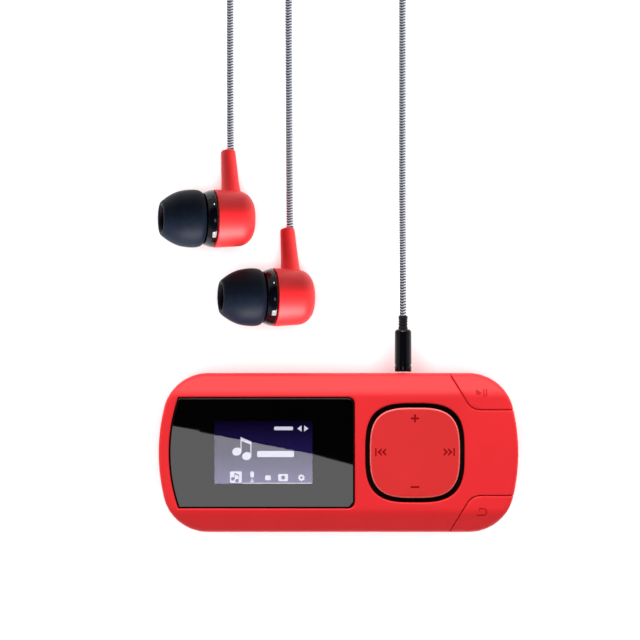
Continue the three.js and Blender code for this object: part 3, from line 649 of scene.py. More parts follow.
def offset(loop, distance_out):
    """A closed anticlockwise loop with its points moved outwards."""
    following, before = np.roll(loop, -1, axis=0), np.roll(loop, 1, axis=0)
    first, second = loop - before, following - loop
    first /= np.linalg.norm(first, axis=1)[:, None]
    second /= np.linalg.norm(second, axis=1)[:, None]
    normal = np.stack([first[:, 1] + second[:, 1], -first[:, 0] - second[:, 0]], axis=1)
    length = np.linalg.norm(normal, axis=1)[:, None]
    return loop + normal / length * distance_out / np.maximum(length / 2, SHARPEST_MITRE)


def edge_loops(loop, radius, steps):
    """Loops inside a loop that its rounded edge follows."""
    return [offset(loop, -inset) for inset in fillet_insets(radius, steps)]


def eased(heights, points, *edges, sign=-1):
    """Heights drawn in by rounded edges: down, or up with a sign of 1. An edge is (loop, radius)."""
    for loop, radius in edges:
        heights = heights + sign * rounding(distance(points, loop), radius)
    return heights


def triangulate(loops, lines):
    """Points and triangles of a plane that is cut along closed loops and open lines."""
    corners, edges = [], []
    for loop in loops:
        first, count = len(corners), len(loop)
        corners += [Vector(p) for p in loop.tolist()]
        edges += [(first + i, first + (i + 1) % count) for i in range(count)]
    for line in lines:
        first = len(corners)
        corners += [Vector(p) for p in line]
        edges += [(first + i, first + i + 1) for i in range(len(line) - 1)]
    flat, _, triangles, *_ = delaunay_2d_cdt(corners, edges, [], 0, 1e-4)
    return np.array([tuple(p) for p in flat]), np.array([tuple(t) for t in triangles])


class Columns:
    """Mesh vertices above flat points, with one vertex for each height of a point."""

    def __init__(self, points):
        self.points = points
        self.vertices = []
        self.numbers = {}
        self.heights = {}

    def vertex(self, i, height):
        key = (i, round(float(height), 4))
        if key not in self.numbers:
            self.numbers[key] = len(self.vertices)
            self.vertices.append((self.points[i][0], self.points[i][1], float(height)))
            self.heights.setdefault(i, []).append(key[1])
        return self.numbers[key]

    def between(self, i, low, high):
        """A point's vertices from one height up to another."""
        lowest, highest = round(float(low), 4), round(float(high), 4)
        return [self.vertex(i, h) for h in sorted(self.heights[i]) if lowest <= h <= highest]


def relief(name, loops, lines, zone_of, heights_of, materials, finishes=None, turn=None):
    """A closed solid over a flat region, in zones that each have their own top and bottom.

    loops and lines are the edges that the surface follows. zone_of gives each of an array of points
    its zone, or None outside the piece. heights_of gives a zone's tops and bottoms at points.
    finishes maps a zone, or a zone and "top", to the number of its material. turn changes an
    (x, y, z) point to where it belongs if the region isn't flat on the table.
    """
    points, triangles = triangulate(loops, lines)
    zones = zone_of(points[triangles].mean(axis=1))
    tops, bottoms = {}, {}
    for zone in sorted({z for z in zones if z is not None}):
        tops[zone], bottoms[zone] = heights_of(zone, points)

    columns = Columns(points)
    faces, kinds, sides = [], [], {}
    for triangle, zone in zip(triangles.tolist(), zones):
        if zone is None:
            continue
        a, b, c = triangle
        (ax, ay), (bx, by), (cx, cy) = points[a], points[b], points[c]
        if (bx - ax) * (cy - ay) - (cx - ax) * (by - ay) < 0:
            b, c = c, b
        faces.append(tuple(columns.vertex(i, tops[zone][i]) for i in (a, b, c)))
        faces.append(tuple(columns.vertex(i, bottoms[zone][i]) for i in (c, b, a)))
        kinds += [(zone, "top"), (zone, "bottom")]
        for start, end in ((a, b), (b, c), (c, a)):
            sides[(start, end)] = zone

    def wall(start, end, low, high, zone):
        """The upright face between two heights at each end, facing right of its direction."""
        up = columns.between(end, low[end], high[end])
        down = columns.between(start, low[start], high[start])[::-1]
        if len(up) + len(down) > 2:
            faces.append(tuple(down + up))
            kinds.append((zone, "side"))

    for (start, end), zone in sides.items():
        other = sides.get((end, start))
        if other is None:
            wall(start, end, bottoms[zone], tops[zone], zone)
        elif other != zone:
            mine, theirs = tops[zone], tops[other]
            if mine[start] + mine[end] > theirs[start] + theirs[end] + TINY:
                wall(start, end, theirs, mine, zone)
            mine, theirs = bottoms[zone], bottoms[other]
            if mine[start] + mine[end] < theirs[start] + theirs[end] - TINY:
                wall(start, end, mine, theirs, zone)
    vertices = columns.vertices
    if turn:
        vertices = [turn(*v) for v in vertices]
        axes = np.array([turn(1, 0, 0), turn(0, 1, 0), turn(0, 0, 1)]) - np.array(turn(0, 0, 0))
        if np.linalg.det(axes) < 0:
            faces = [face[::-1] for face in faces]
    finishes = finishes or {}
    indices = [finishes.get(kind, finishes.get(kind[0], 0)) for kind in kinds]
    return weight_normals(mesh_object(name, vertices, faces, materials, RELIEF_SHARP_ANGLE, indices))


def circle(x, y, radius, sides=24):
    return loop_array(arc((x, y), radius, 0, 2 * math.pi * (sides - 1) / sides, sides - 1))


def rectangle(left, right, bottom, top):
    return loop_array([(left, bottom), (right, bottom), (right, top), (left, top)])


def rounded_box(left, right, bottom, top, radius, steps=4):
    """A rectangle with rounded corners."""
    quarter = math.pi / 2
    centres = [
        (right - radius, bottom + radius), (right - radius, top - radius),
        (left + radius, top - radius), (left + radius, bottom + radius),
    ]
    points = []
    for i, centre in enumerate(centres):
        points += arc(centre, radius, (i - 1) * quarter, i * quarter, steps)
    return loop_array(points)


# ---------------------------------------------------------------- the player's outlines


def body_outline(inset):
    """Bowed ends and round corners, drawn inwards by an inset."""
    end_x = HALF_LENGTH - END_RADIUS
    corner_y = HALF_WIDTH - CORNER_RADIUS
    corner_x = end_x + math.sqrt((END_RADIUS - CORNER_RADIUS) ** 2 - corner_y**2)
    meet = math.atan2(corner_y, corner_x - end_x)
    radius = CORNER_RADIUS - inset
    points = arc((corner_x, -corner_y), radius, -math.pi / 2, -meet, 24)[:-1]
    points += arc((end_x, 0), END_RADIUS - inset, -meet, meet, 16)[:-1]
    points += arc((corner_x, corner_y), radius, meet, math.pi / 2, 24)
    half = np.array(points)
    return np.concatenate([half, -half])


def window_outline(grow):
    """A bowed left edge and rounded right corners."""
    half_height = WINDOW_HIGH.y + grow
    radius = WINDOW_BOW + grow
    sweep = math.asin(half_height / radius)
    corner_x = WINDOW_HIGH.x - WINDOW_CORNER
    corner_y = WINDOW_HIGH.y - WINDOW_CORNER
    points = arc((WINDOW_LOW.x + WINDOW_BOW, 0), radius, math.pi - sweep, math.pi + sweep, 28)
    points += arc((corner_x, -corner_y), WINDOW_CORNER + grow, -math.pi / 2, 0, 7)
    points += arc((corner_x, corner_y), WINDOW_CORNER + grow, 0, math.pi / 2, 7)
    return loop_array(points)


def pad_outline(half):
    """The pad's superellipse."""
    count = 120
    points = []
    for i in range(count):
        angle = 2 * math.pi * i / count
        c, s = math.cos(angle), math.sin(angle)
        reach = half / (abs(c) ** PAD_POWER + abs(s) ** PAD_POWER) ** (1 / PAD_POWER)
        points.append((PAD_X + reach * c, reach * s))
    return loop_array(points)


def button_outline(grow, side):
    """A corner button's region: beyond a diagonal, an arc and a line; side is 1 for the upper one."""
    far = 2 * HALF_LENGTH
    centre_y = BUTTON_SEAM_Y + BUTTON_ARC_RADIUS
    radius = BUTTON_ARC_RADIUS + grow
    normal = 1.5 * math.pi - BUTTON_DIAGONAL
    bend = arc((BUTTON_ARC_X, centre_y), radius, normal, 1.5 * math.pi, 12)
    run = 12.0
    top = (bend[0][0] - run * math.cos(BUTTON_DIAGONAL), bend[0][1] + run * math.sin(BUTTON_DIAGONAL))
    points = [(far, far), (top[0], far), top, *bend, (far, BUTTON_SEAM_Y - grow)]
    if side < 0:
        points = [(x, -y) for x, y in reversed(points)]
    return loop_array(points)


def face_height(points):
    """The front face and its sloping shoulders, with a soft bend between them."""
    past = np.abs(points[:, 1]) - SHOULDER_Y
    soft = SHOULDER_SOFTNESS
    bend = np.clip(past + soft, 0, 2 * soft) ** 2 / (4 * soft)
    run = np.where(past > soft, past, bend)
    return FACE_Z - run * SHOULDER_SLOPE


def shoulder_lines():
    """Lines along the body where the face bends over."""
    reach = HALF_LENGTH + 1
    lines = []
    for side in (-1, 1):
        for share in (-1, -1 / 3, 1 / 3, 1):
            y = side * (SHOULDER_Y + SHOULDER_SOFTNESS * share)
            lines.append([(-reach, y), (reach, y)])
    return lines


def body_edge_loops():
    """Loops that the rounded edge of the casing follows."""
    return [body_outline(inset) for inset in fillet_insets(EDGE_ROUND, 6)]


SCREWS = [box_mm(f"case_screw_{i}") for i in (1, 2, 3, 4)]
SCREW_PLACES = [((low.x + high.x) / 2, (low.y + high.y) / 2) for low, high in SCREWS]
SCREW_HOLE = 0.9
SCREW_HOLE_TOP_Z = 12.7
FRONT_BOSS = 1.7
REAR_BOSS = 1.9
BOSS_GAP = 0.1
RECESS = 1.7
RECESS_FLOOR_Z = 6.0
RECESS_ROUND = 0.15
SOCKET_HOLE = 1.95
SOCKET_HOLE_DEPTH = 3
USB_HOLE = {"inner_x": -34.5, "half": 4.2, "bottom": 7.4, "top": 10.75}
MIC_HOLE = {"x": 1.2, "radius": 0.4, "top": 11.3, "inner_y": -14.0}
BUTTON_GAP = 0.09
WINDOW_GAP = 0.25
FLANGE_WIDTH = 0.7
FLANGE_DEPTH = 0.9
FLANGE_THICKNESS = 0.6
OPENING_ROUND = 0.3
SEAM_ROUND = 0.22


def opening_lines():
    """Lines across the walls at the edges of the holes in them."""
    columns = [SOCKET_X + SOCKET_HOLE * math.sin(math.radians(a)) for a in range(-90, 91, 15)]
    lines = [[(x, HALF_WIDTH - SOCKET_HOLE_DEPTH), (x, HALF_WIDTH + 1)] for x in columns]
    for side in (-1, 1):
        y = side * USB_HOLE["half"]
        lines.append([(-HALF_LENGTH - 1, y), (USB_HOLE["inner_x"], y)])
        x = MIC_HOLE["x"] + side * MIC_HOLE["radius"]
        lines.append([(x, -HALF_WIDTH - 1), (x, MIC_HOLE["inner_y"])])
    return lines


def socket_reach(points):
    """Half the height of the round socket hole at each point, or 0 beside it."""
    dx = points[:, 0] - SOCKET_X
    reach = np.sqrt(np.clip(SOCKET_HOLE**2 - dx**2, 0, None))
    return np.where(points[:, 1] > HALF_WIDTH - SOCKET_HOLE_DEPTH, reach, 0)


def in_usb_hole(points):
    beside = np.abs(points[:, 1]) < USB_HOLE["half"] + TINY
    return beside & (points[:, 0] < USB_HOLE["inner_x"] + TINY)


def in_mic_hole(points):
    beside = np.abs(points[:, 0] - MIC_HOLE["x"]) < MIC_HOLE["radius"] + TINY
    return beside & (points[:, 1] < MIC_HOLE["inner_y"])


def choose(*cases):
    """The first zone whose mask holds at each point; cases are (mask, zone)."""
    zones = np.full(len(cases[0][0]), None, dtype=object)
    done = np.zeros(len(cases[0][0]), dtype=bool)
    for mask, zone in cases:
        zones[mask & ~done] = zone
        done |= mask
    return zones


def front_shell():
    """The front of the casing, with its window pocket, pad opening and shelves under the buttons.

    The pocket is blacked out, so that no red shows through the clear part of the window.
    """
    outer, wall = body_outline(0), body_outline(WALL)
    window, ledge = window_outline(WINDOW_GAP), window_outline(LEDGE_WIDTH)
    pad = pad_outline(PAD_OPENING_HALF)
    buttons = [button_outline(BUTTON_GAP, side) for side in (-1, 1)]
    inner_buttons = [button_outline(-FLANGE_WIDTH, side) for side in (-1, 1)]
    view = rectangle(*VIEW_CUTOUT)
    bosses = [circle(*spot, FRONT_BOSS) for spot in SCREW_PLACES]
    holes = [circle(*spot, SCREW_HOLE, 16) for spot in SCREW_PLACES]

    def zone_of(points):
        beyond = ~inside(points, outer)
        in_wall = ~inside(points, wall)
        in_window = inside(points, window)
        in_button = in_any(points, buttons)
        deep_in_button = in_any(points, inner_buttons)
        in_boss = in_any(points, bosses)
        in_hole = in_any(points, holes)
        usb, mic = in_usb_hole(points), in_mic_hole(points)
        socket = socket_reach(points) > 0
        return choose(
            (beyond | inside(points, pad), None),
            (in_window & inside(points, view), None),
            (in_window, "pocket"),
            (in_button & in_wall & socket, "shelf_socket"),
            (in_button & in_wall, "shelf"),
            (in_button & ~deep_in_button, "flange"),
            (in_button, None),
            (in_wall & usb, "usb"),
            (in_wall & mic, "mic"),
            (in_wall & socket, "socket"),
            (in_wall, "wall"),
            (in_hole, "hole"),
            (in_boss, "boss"),
            (inside(points, ledge), "ledge"),
            (~beyond, "face"),
        )

    def heights_of(zone, points):
        level = np.zeros(len(points))
        if zone == "pocket":
            return level + POCKET_Z, level + LEDGE_Z
        if zone.startswith("shelf"):
            return level + BUTTON_SHELF_Z, level + FRONT_RIM_Z
        if zone == "flange":
            flange = face_height(points) - FLANGE_DEPTH
            return flange, flange - FLANGE_THICKNESS
        openings = [(window, OPENING_ROUND), (pad, OPENING_ROUND)]
        seams = [(button, SEAM_ROUND) for button in buttons]
        top = eased(face_height(points), points, (outer, EDGE_ROUND), *openings, *seams)
        bottoms = {
            "usb": level + USB_HOLE["top"],
            "mic": level + MIC_HOLE["top"],
            "socket": np.maximum(FRONT_RIM_Z, SOCKET_Z + socket_reach(points)),
            "wall": level + FRONT_RIM_Z,
            "hole": level + SCREW_HOLE_TOP_Z,
            "boss": level + FRONT_RIM_Z + BOSS_GAP,
            "ledge": level + LEDGE_Z,
            "face": face_height(points) - SKIN,
        }
        return top, bottoms[zone]

    loops = [outer, wall, window, ledge, pad, *buttons, *inner_buttons, view, *bosses, *holes]
    loops += body_edge_loops()
    for inset in fillet_insets(OPENING_ROUND, 3):
        loops += [window_outline(WINDOW_GAP + inset), offset(pad, inset)]
    for inset in fillet_insets(SEAM_ROUND, 3):
        loops += [button_outline(BUTTON_GAP + inset, side) for side in (-1, 1)]
    lines = shoulder_lines() + opening_lines()
    materials = [MATERIALS["red"], MATERIALS["matt_black_and_painted_shade"]]
    piece = relief("front_shell", loops, lines, zone_of, heights_of, materials, {"pocket": 1})
    return place(piece, "player", "red_plastic", "front_cover")


def rear_shell():
    """The back of the casing, with the lip that centres the front and the hinge lugs of the clip."""
    outer, lip, inner = body_outline(0), body_outline(LIP_INSET), body_outline(REAR_WALL)
    bosses = [circle(*spot, REAR_BOSS) for spot in SCREW_PLACES]
    holes = [circle(*spot, SCREW_HOLE, 16) for spot in SCREW_PLACES]
    recesses = [circle(*spot, RECESS) for spot in SCREW_PLACES]

    def zone_of(points):
        beyond = ~inside(points, outer)
        in_lip = ~inside(points, inner)
        in_rim = ~inside(points, lip)
        usb = in_usb_hole(points)
        socket = socket_reach(points) > 0
        return choose(
            (beyond | in_any(points, holes), None),
            (in_any(points, recesses), "recess"),
            (in_lip & usb, "usb"),
            (in_lip & socket, "socket"),
            (in_rim, "rim"),
            (in_lip, "lip"),
            (in_any(points, bosses), "boss"),
            (~beyond, "floor"),
        )

    def heights_of(zone, points):
        level = np.zeros(len(points))
        back = BACK_Z + FACE_Z - face_height(points)
        rims = [(recess, RECESS_ROUND) for recess in recesses]
        bottom = eased(back, points, (outer, EDGE_ROUND), *rims, sign=1)
        tops = {
            "recess": level + REAR_RIM_Z,
            "usb": level + USB_HOLE["bottom"],
            "socket": np.minimum(REAR_RIM_Z, SOCKET_Z - socket_reach(points)),
            "rim": level + REAR_RIM_Z,
            "lip": level + LIP_Z,
            "boss": level + REAR_RIM_Z,
            "floor": back + FLOOR_THICKNESS,
        }
        if zone == "recess":
            bottom = level + RECESS_FLOOR_Z
        return tops[zone], bottom

    loops = [outer, lip, inner, *bosses, *holes, *recesses, *body_edge_loops()]
    for inset in fillet_insets(RECESS_ROUND, 2):
        loops += [offset(recess, inset) for recess in recesses]
    lines = shoulder_lines() + opening_lines()
    piece = relief("rear_shell", loops, lines, zone_of, heights_of, [MATERIALS["red"]])
    lugs = [hinge_knuckle("lug", *span, BACK_Z + KNUCKLE_SINK) for span in LUG_SPANS]
    merge(piece, lugs)
    return place(piece, "player", "red_plastic", "rear_cover")


# ---------------------------------------------------------------- symbols


def moved(loop, x, y, turn=0.0, scale=1.0):
    """A loop turned by an angle in degrees, scaled, then moved."""
    angle = math.radians(turn)
    c, s = math.cos(angle), math.sin(angle)
    return (loop @ np.array([[c, s], [-s, c]])) * scale + np.array([x, y])


def polygon(*points):
    return loop_array(points)


def plus_sign(size, width):
    h, w = size / 2, width / 2
    return [polygon((-w, -h), (w, -h), (w, -w), (h, -w), (h, w), (w, w),
                    (w, h), (-w, h), (-w, w), (-h, w), (-h, -w), (-w, -w))]


def minus_sign(size, width):
    return [rectangle(-size / 2, size / 2, -width / 2, width / 2)]


def triangle(size, height):
    """A triangle that points to +X."""
    return polygon((-size / 2, -height / 2), (size / 2, 0), (-size / 2, height / 2))


def chevron(size, height, stroke):
    """An open arrowhead towards +X."""
    left, tip, half = -size / 2, size / 2, height / 2
    return polygon(
        (left, -half), (tip, 0), (left, half), (left, half - stroke), (tip - 1.3 * stroke, 0),
        (left, stroke - half),
    )


def skip_sign():
    """Two open arrowheads and a bar, towards +X."""
    arrows = [moved(chevron(0.95, 1.7, 0.42), x, 0) for x in (-0.72, 0.22)]
    return [*arrows, rectangle(0.86, 1.16, -0.85, 0.85)]


def play_pause_sign():
    bars = [rectangle(x, x + 0.3, -0.8, 0.8) for x in (0.45, 1.0)]
    return [moved(triangle(1.25, 1.6), -0.45, 0), *bars]


def return_sign():
    """An arrow that turns back on itself."""
    outer = arc((0.35, 0), 0.85, -math.pi / 2, math.pi / 2, 12)
    inner = arc((0.35, 0), 0.57, math.pi / 2, -math.pi / 2, 12)
    body = [(-1.0, -0.85), *outer, (-0.3, 0.85), (-0.3, 0.57), *inner, (-1.0, -0.57)]
    head = polygon((-0.3, 0.2), (-0.3, 1.22), (-1.1, 0.71))
    return [loop_array(body), head]


SYMBOL_DEPTH = 0.12
PAD_ROUND = 0.4
PAD_HIGHLIGHT_BAND = 0.26
PAD_SIGN_REACH = 7.25
SIDE_SIGN_Y = 0.15
BUTTON_EDGE = FLANGE_WIDTH + 0.3
BUTTON_EDGE_DEPTH = FLANGE_DEPTH - 0.4
BUTTON_POST = {"x": 28.8, "y": 11.4, "radius": 1.0, "rise": 0.95}


def pad_symbols():
    """Volume up and down at the top and bottom, skip back and on at the left and right."""
    out = PAD_SIGN_REACH
    symbols = [moved(loop, PAD_X, out) for loop in plus_sign(1.7, 0.4)]
    symbols += [moved(loop, PAD_X, -out) for loop in minus_sign(1.8, 0.4)]
    symbols += [moved(loop, PAD_X + out, SIDE_SIGN_Y) for loop in skip_sign()]
    symbols += [moved(loop, PAD_X - out, SIDE_SIGN_Y, 180) for loop in skip_sign()]
    return symbols


def pad_cap():
    """The four-way pad, with symbols pressed into it; its edge band has a painted highlight and its
    symbols have painted shade.
    """
    outer = pad_outline(PAD_HALF)
    rim = offset(outer, -PAD_HIGHLIGHT_BAND)
    symbols = pad_symbols()

    def zone_of(points):
        return choose(
            (~inside(points, outer), None),
            # The band round the pad's edge gets the painted highlight.
            (~inside(points, rim), "rim"),
            (in_any(points, symbols), "symbol"),
            (inside(points, outer), "face"),
        )

    def heights_of(zone, points):
        top = eased(PAD_HIGH.z, points, (outer, PAD_ROUND))
        if zone == "symbol":
            top = top - SYMBOL_DEPTH
        return top, np.full(len(points), PAD_LOW.z)

    loops = [outer, rim, *symbols, *edge_loops(outer, PAD_ROUND, 5)]
    materials = [MATERIALS["pad"], MATERIALS["pad_rim_painted_highlight"], MATERIALS["sign"]]
    # The rim's top has the painted highlight; the symbols have the darker red of painted shade.
    finishes = {("rim", "top"): 1, "symbol": 2}
    piece = relief("pad_cap", loops, [], zone_of, heights_of, materials, finishes)
    return place(piece, "pad", "red_plastic", "nav_pad")


def corner_cap(name, side, body, node, signs, centre):
    """A corner button: part of the casing's face and wall, on a post over its switch; its pressed sign has
    painted shade.
    """
    lowest = box_mm(node)[0].z
    outer, wall = body_outline(0), body_outline(WALL)
    seam = button_outline(-BUTTON_GAP, side)
    inner_seam = button_outline(-BUTTON_EDGE, side)
    post = circle(BUTTON_POST["x"], side * BUTTON_POST["y"], BUTTON_POST["radius"])
    symbols = [moved(loop, *centre) for loop in signs]

    def zone_of(points):
        return choose(
            (~inside(points, outer) | ~inside(points, seam), None),
            (~inside(points, wall), "wall"),
            (~inside(points, inner_seam), "edge"),
            (inside(points, post), "post"),
            (in_any(points, symbols), "symbol"),
            (inside(points, seam), "face"),
        )

    def heights_of(zone, points):
        level = np.full(len(points), lowest)
        top = eased(face_height(points), points, (outer, EDGE_ROUND), (seam, SEAM_ROUND))
        if zone == "symbol":
            top = top - SYMBOL_DEPTH
        bottoms = {
            "wall": level,
            "edge": face_height(points) - BUTTON_EDGE_DEPTH,
            "post": level + BUTTON_POST["rise"],
            "symbol": face_height(points) - SKIN,
            "face": face_height(points) - SKIN,
        }
        return top, bottoms[zone]

    loops = [outer, wall, seam, inner_seam, post, *symbols, *body_edge_loops()]
    loops += [button_outline(-BUTTON_GAP - inset, side) for inset in fillet_insets(SEAM_ROUND, 3)]
    # The sign's floor takes a darker red: painted shade in its hollow.
    materials = [MATERIALS["red"], MATERIALS["faint_sign_painted_shade"]]
    piece = relief(name, loops, shoulder_lines(), zone_of, heights_of, materials, {"symbol": 1})
    return place(piece, body, "red_plastic", node)


# ---------------------------------------------------------------- window and display

WINDOW_ROUND = 0.15


def window_lens():
    """The window: printed black behind, but clear over the display."""
    outer = window_outline(0)
    clear = rectangle(*LIT_AREA)

    def zone_of(points):
        return choose(
            (~inside(points, outer), None),
            (inside(points, clear), "clear"),
            (inside(points, outer), "printed"),
        )

    def heights_of(zone, points):
        top = eased(WINDOW_HIGH.z, points, (outer, WINDOW_ROUND))
        return top, np.full(len(points), WINDOW_LOW.z)

    loops = [outer, clear]
    loops += [window_outline(-inset) for inset in fillet_insets(WINDOW_ROUND, 3)]
    materials = [MATERIALS["window"], MATERIALS["clear"]]
    piece = relief("window_lens", loops, [], zone_of, heights_of, materials, {"clear": 1})
    return place(piece, "player", "window", "screen_window")


def note_icon(x, y, scale=1.0):
    """Two beamed notes."""
    heads = [moved(ellipse(1.0, 0.85, 20), *p, turn=20) for p in ((-1.05, 0.48), (1.05, -0.48))]
    stems = [rectangle(-0.27, -0.07, 0.48, 3.55), rectangle(1.83, 2.03, -0.48, 2.6)]
    beam = polygon((-0.27, 2.85), (2.03, 1.9), (2.03, 2.6), (-0.27, 3.55))
    return [moved(loop, x, y, scale=scale) for loop in (*heads, *stems, beam)]


def ellipse(a, b, sides):
    angles = [2 * math.pi * i / sides for i in range(sides)]
    return loop_array([(a * math.cos(t), b * math.sin(t)) for t in angles])


def gear_icon(x, y, teeth=8, tip=0.78, root=0.58):
    """A toothed wheel, with two points on each tooth and two between teeth."""
    points = []
    for i in range(4 * teeth):
        radius = tip if i % 4 < 2 else root
        angle = 2 * math.pi * i / (4 * teeth)
        points.append((x + radius * math.cos(angle), y + radius * math.sin(angle)))
    return loop_array(points)


def display_glyphs():
    """What the screen shows: a large note, plain bars in place of words, and a row of icons."""
    row = -5.3
    return [
        *note_icon(-20.44, -0.26),
        rounded_box(-17.2, -9.4, -0.95, 0.35, 0.3),
        rounded_box(-13.6, -9.6, 4.75, 5.5, 0.25),
        moved(triangle(0.9, 1.3), -8.25, 5.1, 180),
        moved(triangle(0.9, 1.3), -6.8, 5.1),
        rounded_box(-18.66, -17.86, row, row + 1.35, 0.38),
        rectangle(-18.36, -18.16, row - 0.75, row - 0.2),
        rectangle(-18.7, -17.82, row - 0.9, row - 0.72),
        rounded_box(-15.5, -14.3, row - 0.55, row + 0.5, 0.2),
        rounded_box(-12.75, -10.65, row - 0.75, row + 0.8, 0.25),
        gear_icon(-7.83, row),
        rectangle(-20.35, -5.7, row - 1.25, row - 1.1),
    ]


def display_face():
    """The display panel: its frame, the lit area and what it shows."""
    low, high = DISPLAY_LOW, DISPLAY_HIGH
    panel = rectangle(low.x, high.x, low.y, high.y)
    lit_area = rectangle(*LIT_AREA)
    glyphs = display_glyphs()
    tile = rounded_box(-22.95, -20.45, -6.4, -3.95, 0.3)
    tile_note = note_icon(-21.9, -5.75, 0.42)
    cuts = [circle(-11.7, -5.28, 0.42, 14), circle(-7.83, -5.3, 0.26, 12)]

    def zone_of(points):
        dark = in_any(points, tile_note) | in_any(points, cuts)
        lit = in_any(points, glyphs) | inside(points, tile)
        return choose(
            (~inside(points, panel), None),
            (~inside(points, lit_area), "frame"),
            (lit & ~dark, "glyph"),
            (inside(points, lit_area), "screen"),
        )

    def heights_of(zone, points):
        level = np.full(len(points), high.z)
        return level, level - (high.z - low.z)

    loops = [panel, lit_area, tile, *glyphs, *tile_note, *cuts]
    materials = [MATERIALS["black"], MATERIALS["screen"], MATERIALS["glyph"]]
    finishes = {("screen", "top"): 1, ("glyph", "top"): 2}
    piece = relief("display_face", loops, [], zone_of, heights_of, materials, finishes)
    return place(piece, "player", "display", "display_panel")


# ---------------------------------------------------------------- clip

CLIP_LOW, CLIP_HIGH = box_mm("clip")
PIN_LOW, PIN_HIGH = box_mm("clip_pin")
PIN_X = (PIN_LOW.x + PIN_HIGH.x) / 2
PIN_Z = (PIN_LOW.z + PIN_HIGH.z) / 2
PIN_HOLE = 0.6
KNUCKLE_RADIUS = 1.2
CLIP_THICKNESS = 1.6
CLIP_CORNER = 4.0
CLIP_ROUND = 0.45
KNUCKLE_ROUND = 0.2
KNUCKLE_SINK = 0.2
LUG_SPANS = ((-6.3, -4.3), (4.3, 6.3))
EAR_SPANS = ((-8.2, -6.6), (6.6, 8.2))
EAR_SINK = 0.1
JAW_ROUND = 0.5
RIB_STARTS = (19.2, 20.4, 21.6)
RIB_WIDTH = 0.6
RIB_DEPTH = 0.3


def upright(x, z, y):
    """Stands a relief up, so that it is flat in X and Z and as thick as it is along Y."""
    return (x, y, z)


def upright_slab(name, outer, hole, start, end, edge, material):
    """A slab with a hole that stands up, from start to end along Y, with rounded outer edges."""
    def zone_of(points):
        return choose(
            (~inside(points, outer) | inside(points, hole), None),
            (inside(points, outer), "slab"),
        )

    def heights_of(zone, points):
        drop = rounding(distance(points, outer), edge)
        return end - drop, start + drop

    loops = [outer, hole, *edge_loops(outer, edge, 2)]
    return relief(name, loops, [], zone_of, heights_of, [material], None, upright)


def hinge_knuckle(name, start, end, root_z):
    """A rounded lug with a hole for the pin, from start to end along Y, rooted at a height."""
    above = root_z > PIN_Z
    tip = arc((PIN_X, PIN_Z), KNUCKLE_RADIUS, math.pi, 2 * math.pi if above else 0, 20)
    root = [(PIN_X + KNUCKLE_RADIUS, root_z), (PIN_X - KNUCKLE_RADIUS, root_z)]
    outer = loop_array([*tip, *root])
    if not above:
        outer = outer[::-1]
    hole = circle(PIN_X, PIN_Z, PIN_HOLE, 20)
    return upright_slab(name, outer, hole, start, end, KNUCKLE_ROUND, MATERIALS["red"])


def merge(piece, others):
    """Adds other pieces' meshes to a piece."""
    joined = bmesh.new()
    for source in (piece, *others):
        joined.from_mesh(source.data)
    joined.to_mesh(piece.data)
    joined.free()
    for source in others:
        bpy.data.objects.remove(source)
    return piece


def clip_leaf():
    """The clip: a leaf with a jaw that grips against the back, ribs for the thumb and hinge ears."""
    outer = rounded_box(CLIP_LOW.x, CLIP_HIGH.x, CLIP_LOW.y, CLIP_HIGH.y, CLIP_CORNER, 10)
    jaw = rounded_box(-29, -26.5, -6, 6, JAW_ROUND)
    ribs = [rounded_box(x, x + RIB_WIDTH, -6, 6, 0.25) for x in RIB_STARTS]

    def zone_of(points):
        return choose(
            (~inside(points, outer), None),
            (inside(points, jaw), "jaw"),
            (in_any(points, ribs), "rib"),
            (inside(points, outer), "leaf"),
        )

    def heights_of(zone, points):
        drop = rounding(distance(points, outer), CLIP_ROUND)
        top, bottom = CLIP_THICKNESS - drop, drop
        if zone == "jaw":
            top = eased(CLIP_HIGH.z, points, (jaw, JAW_ROUND))
        if zone == "rib":
            bottom = bottom + RIB_DEPTH
        return top, bottom

    loops = [outer, jaw, *ribs, *edge_loops(outer, CLIP_ROUND, 4), *edge_loops(jaw, JAW_ROUND, 3)]
    leaf = relief("clip_leaf", loops, [], zone_of, heights_of, [MATERIALS["red"]])
    ears = [hinge_knuckle("ear", *span, CLIP_THICKNESS - EAR_SINK) for span in EAR_SPANS]
    merge(leaf, ears)
    return place(leaf, "clip_leaf", "red_plastic", "clip")


# ---------------------------------------------------------------- cords


def coil_turns(centre_x, coil, direction):
    """Points of a coil wound in flat spirals, in and out by turns, one layer on another.

    direction is -1 where the cord passes on the coil's left side and 1 where it passes on its right.
    """
    outer = coil["turn_radius"] + OUTER_TURN
    inner = coil["turn_radius"] - OUTER_TURN
    total = coil["layers"] * TURNS_PER_LAYER
    start = math.pi if direction < 0 else 0.0
    points = []
    for i in range(total * POINTS_PER_TURN + 1):
        turn = i / POINTS_PER_TURN
        layer = min(int(turn / TURNS_PER_LAYER), coil["layers"] - 1)
        inwards = turn / TURNS_PER_LAYER - layer
        share = inwards if layer % 2 == 0 else 1 - inwards
        climb = max(0.0, (inwards * TURNS_PER_LAYER - (TURNS_PER_LAYER - CLIMB_TURNS)) / CLIMB_TURNS)
        if layer == coil["layers"] - 1:
            climb = 0.0
        radius = outer + (inner - outer) * share
        angle = start + direction * 2 * math.pi * turn
        height = COIL_BOTTOM_Z + CORD_RADIUS * (1 + 2 * (layer + climb))
        points.append((
            centre_x + radius * math.cos(angle),
            COIL_CENTRE_Y + radius * math.sin(angle),
            height,
        ))
    return points


MAIN_X, LEFT_X, RIGHT_X = 13.75, -23.1, -10.6
SPLITTER_LOW, SPLITTER_HIGH = box_mm("cord_splitter")
SPLITTER_Y = (SPLITTER_LOW.y + SPLITTER_HIGH.y) / 2
SPLITTER_Z = (SPLITTER_LOW.z + SPLITTER_HIGH.z) / 2
SPLITTER_PORT = 0.9

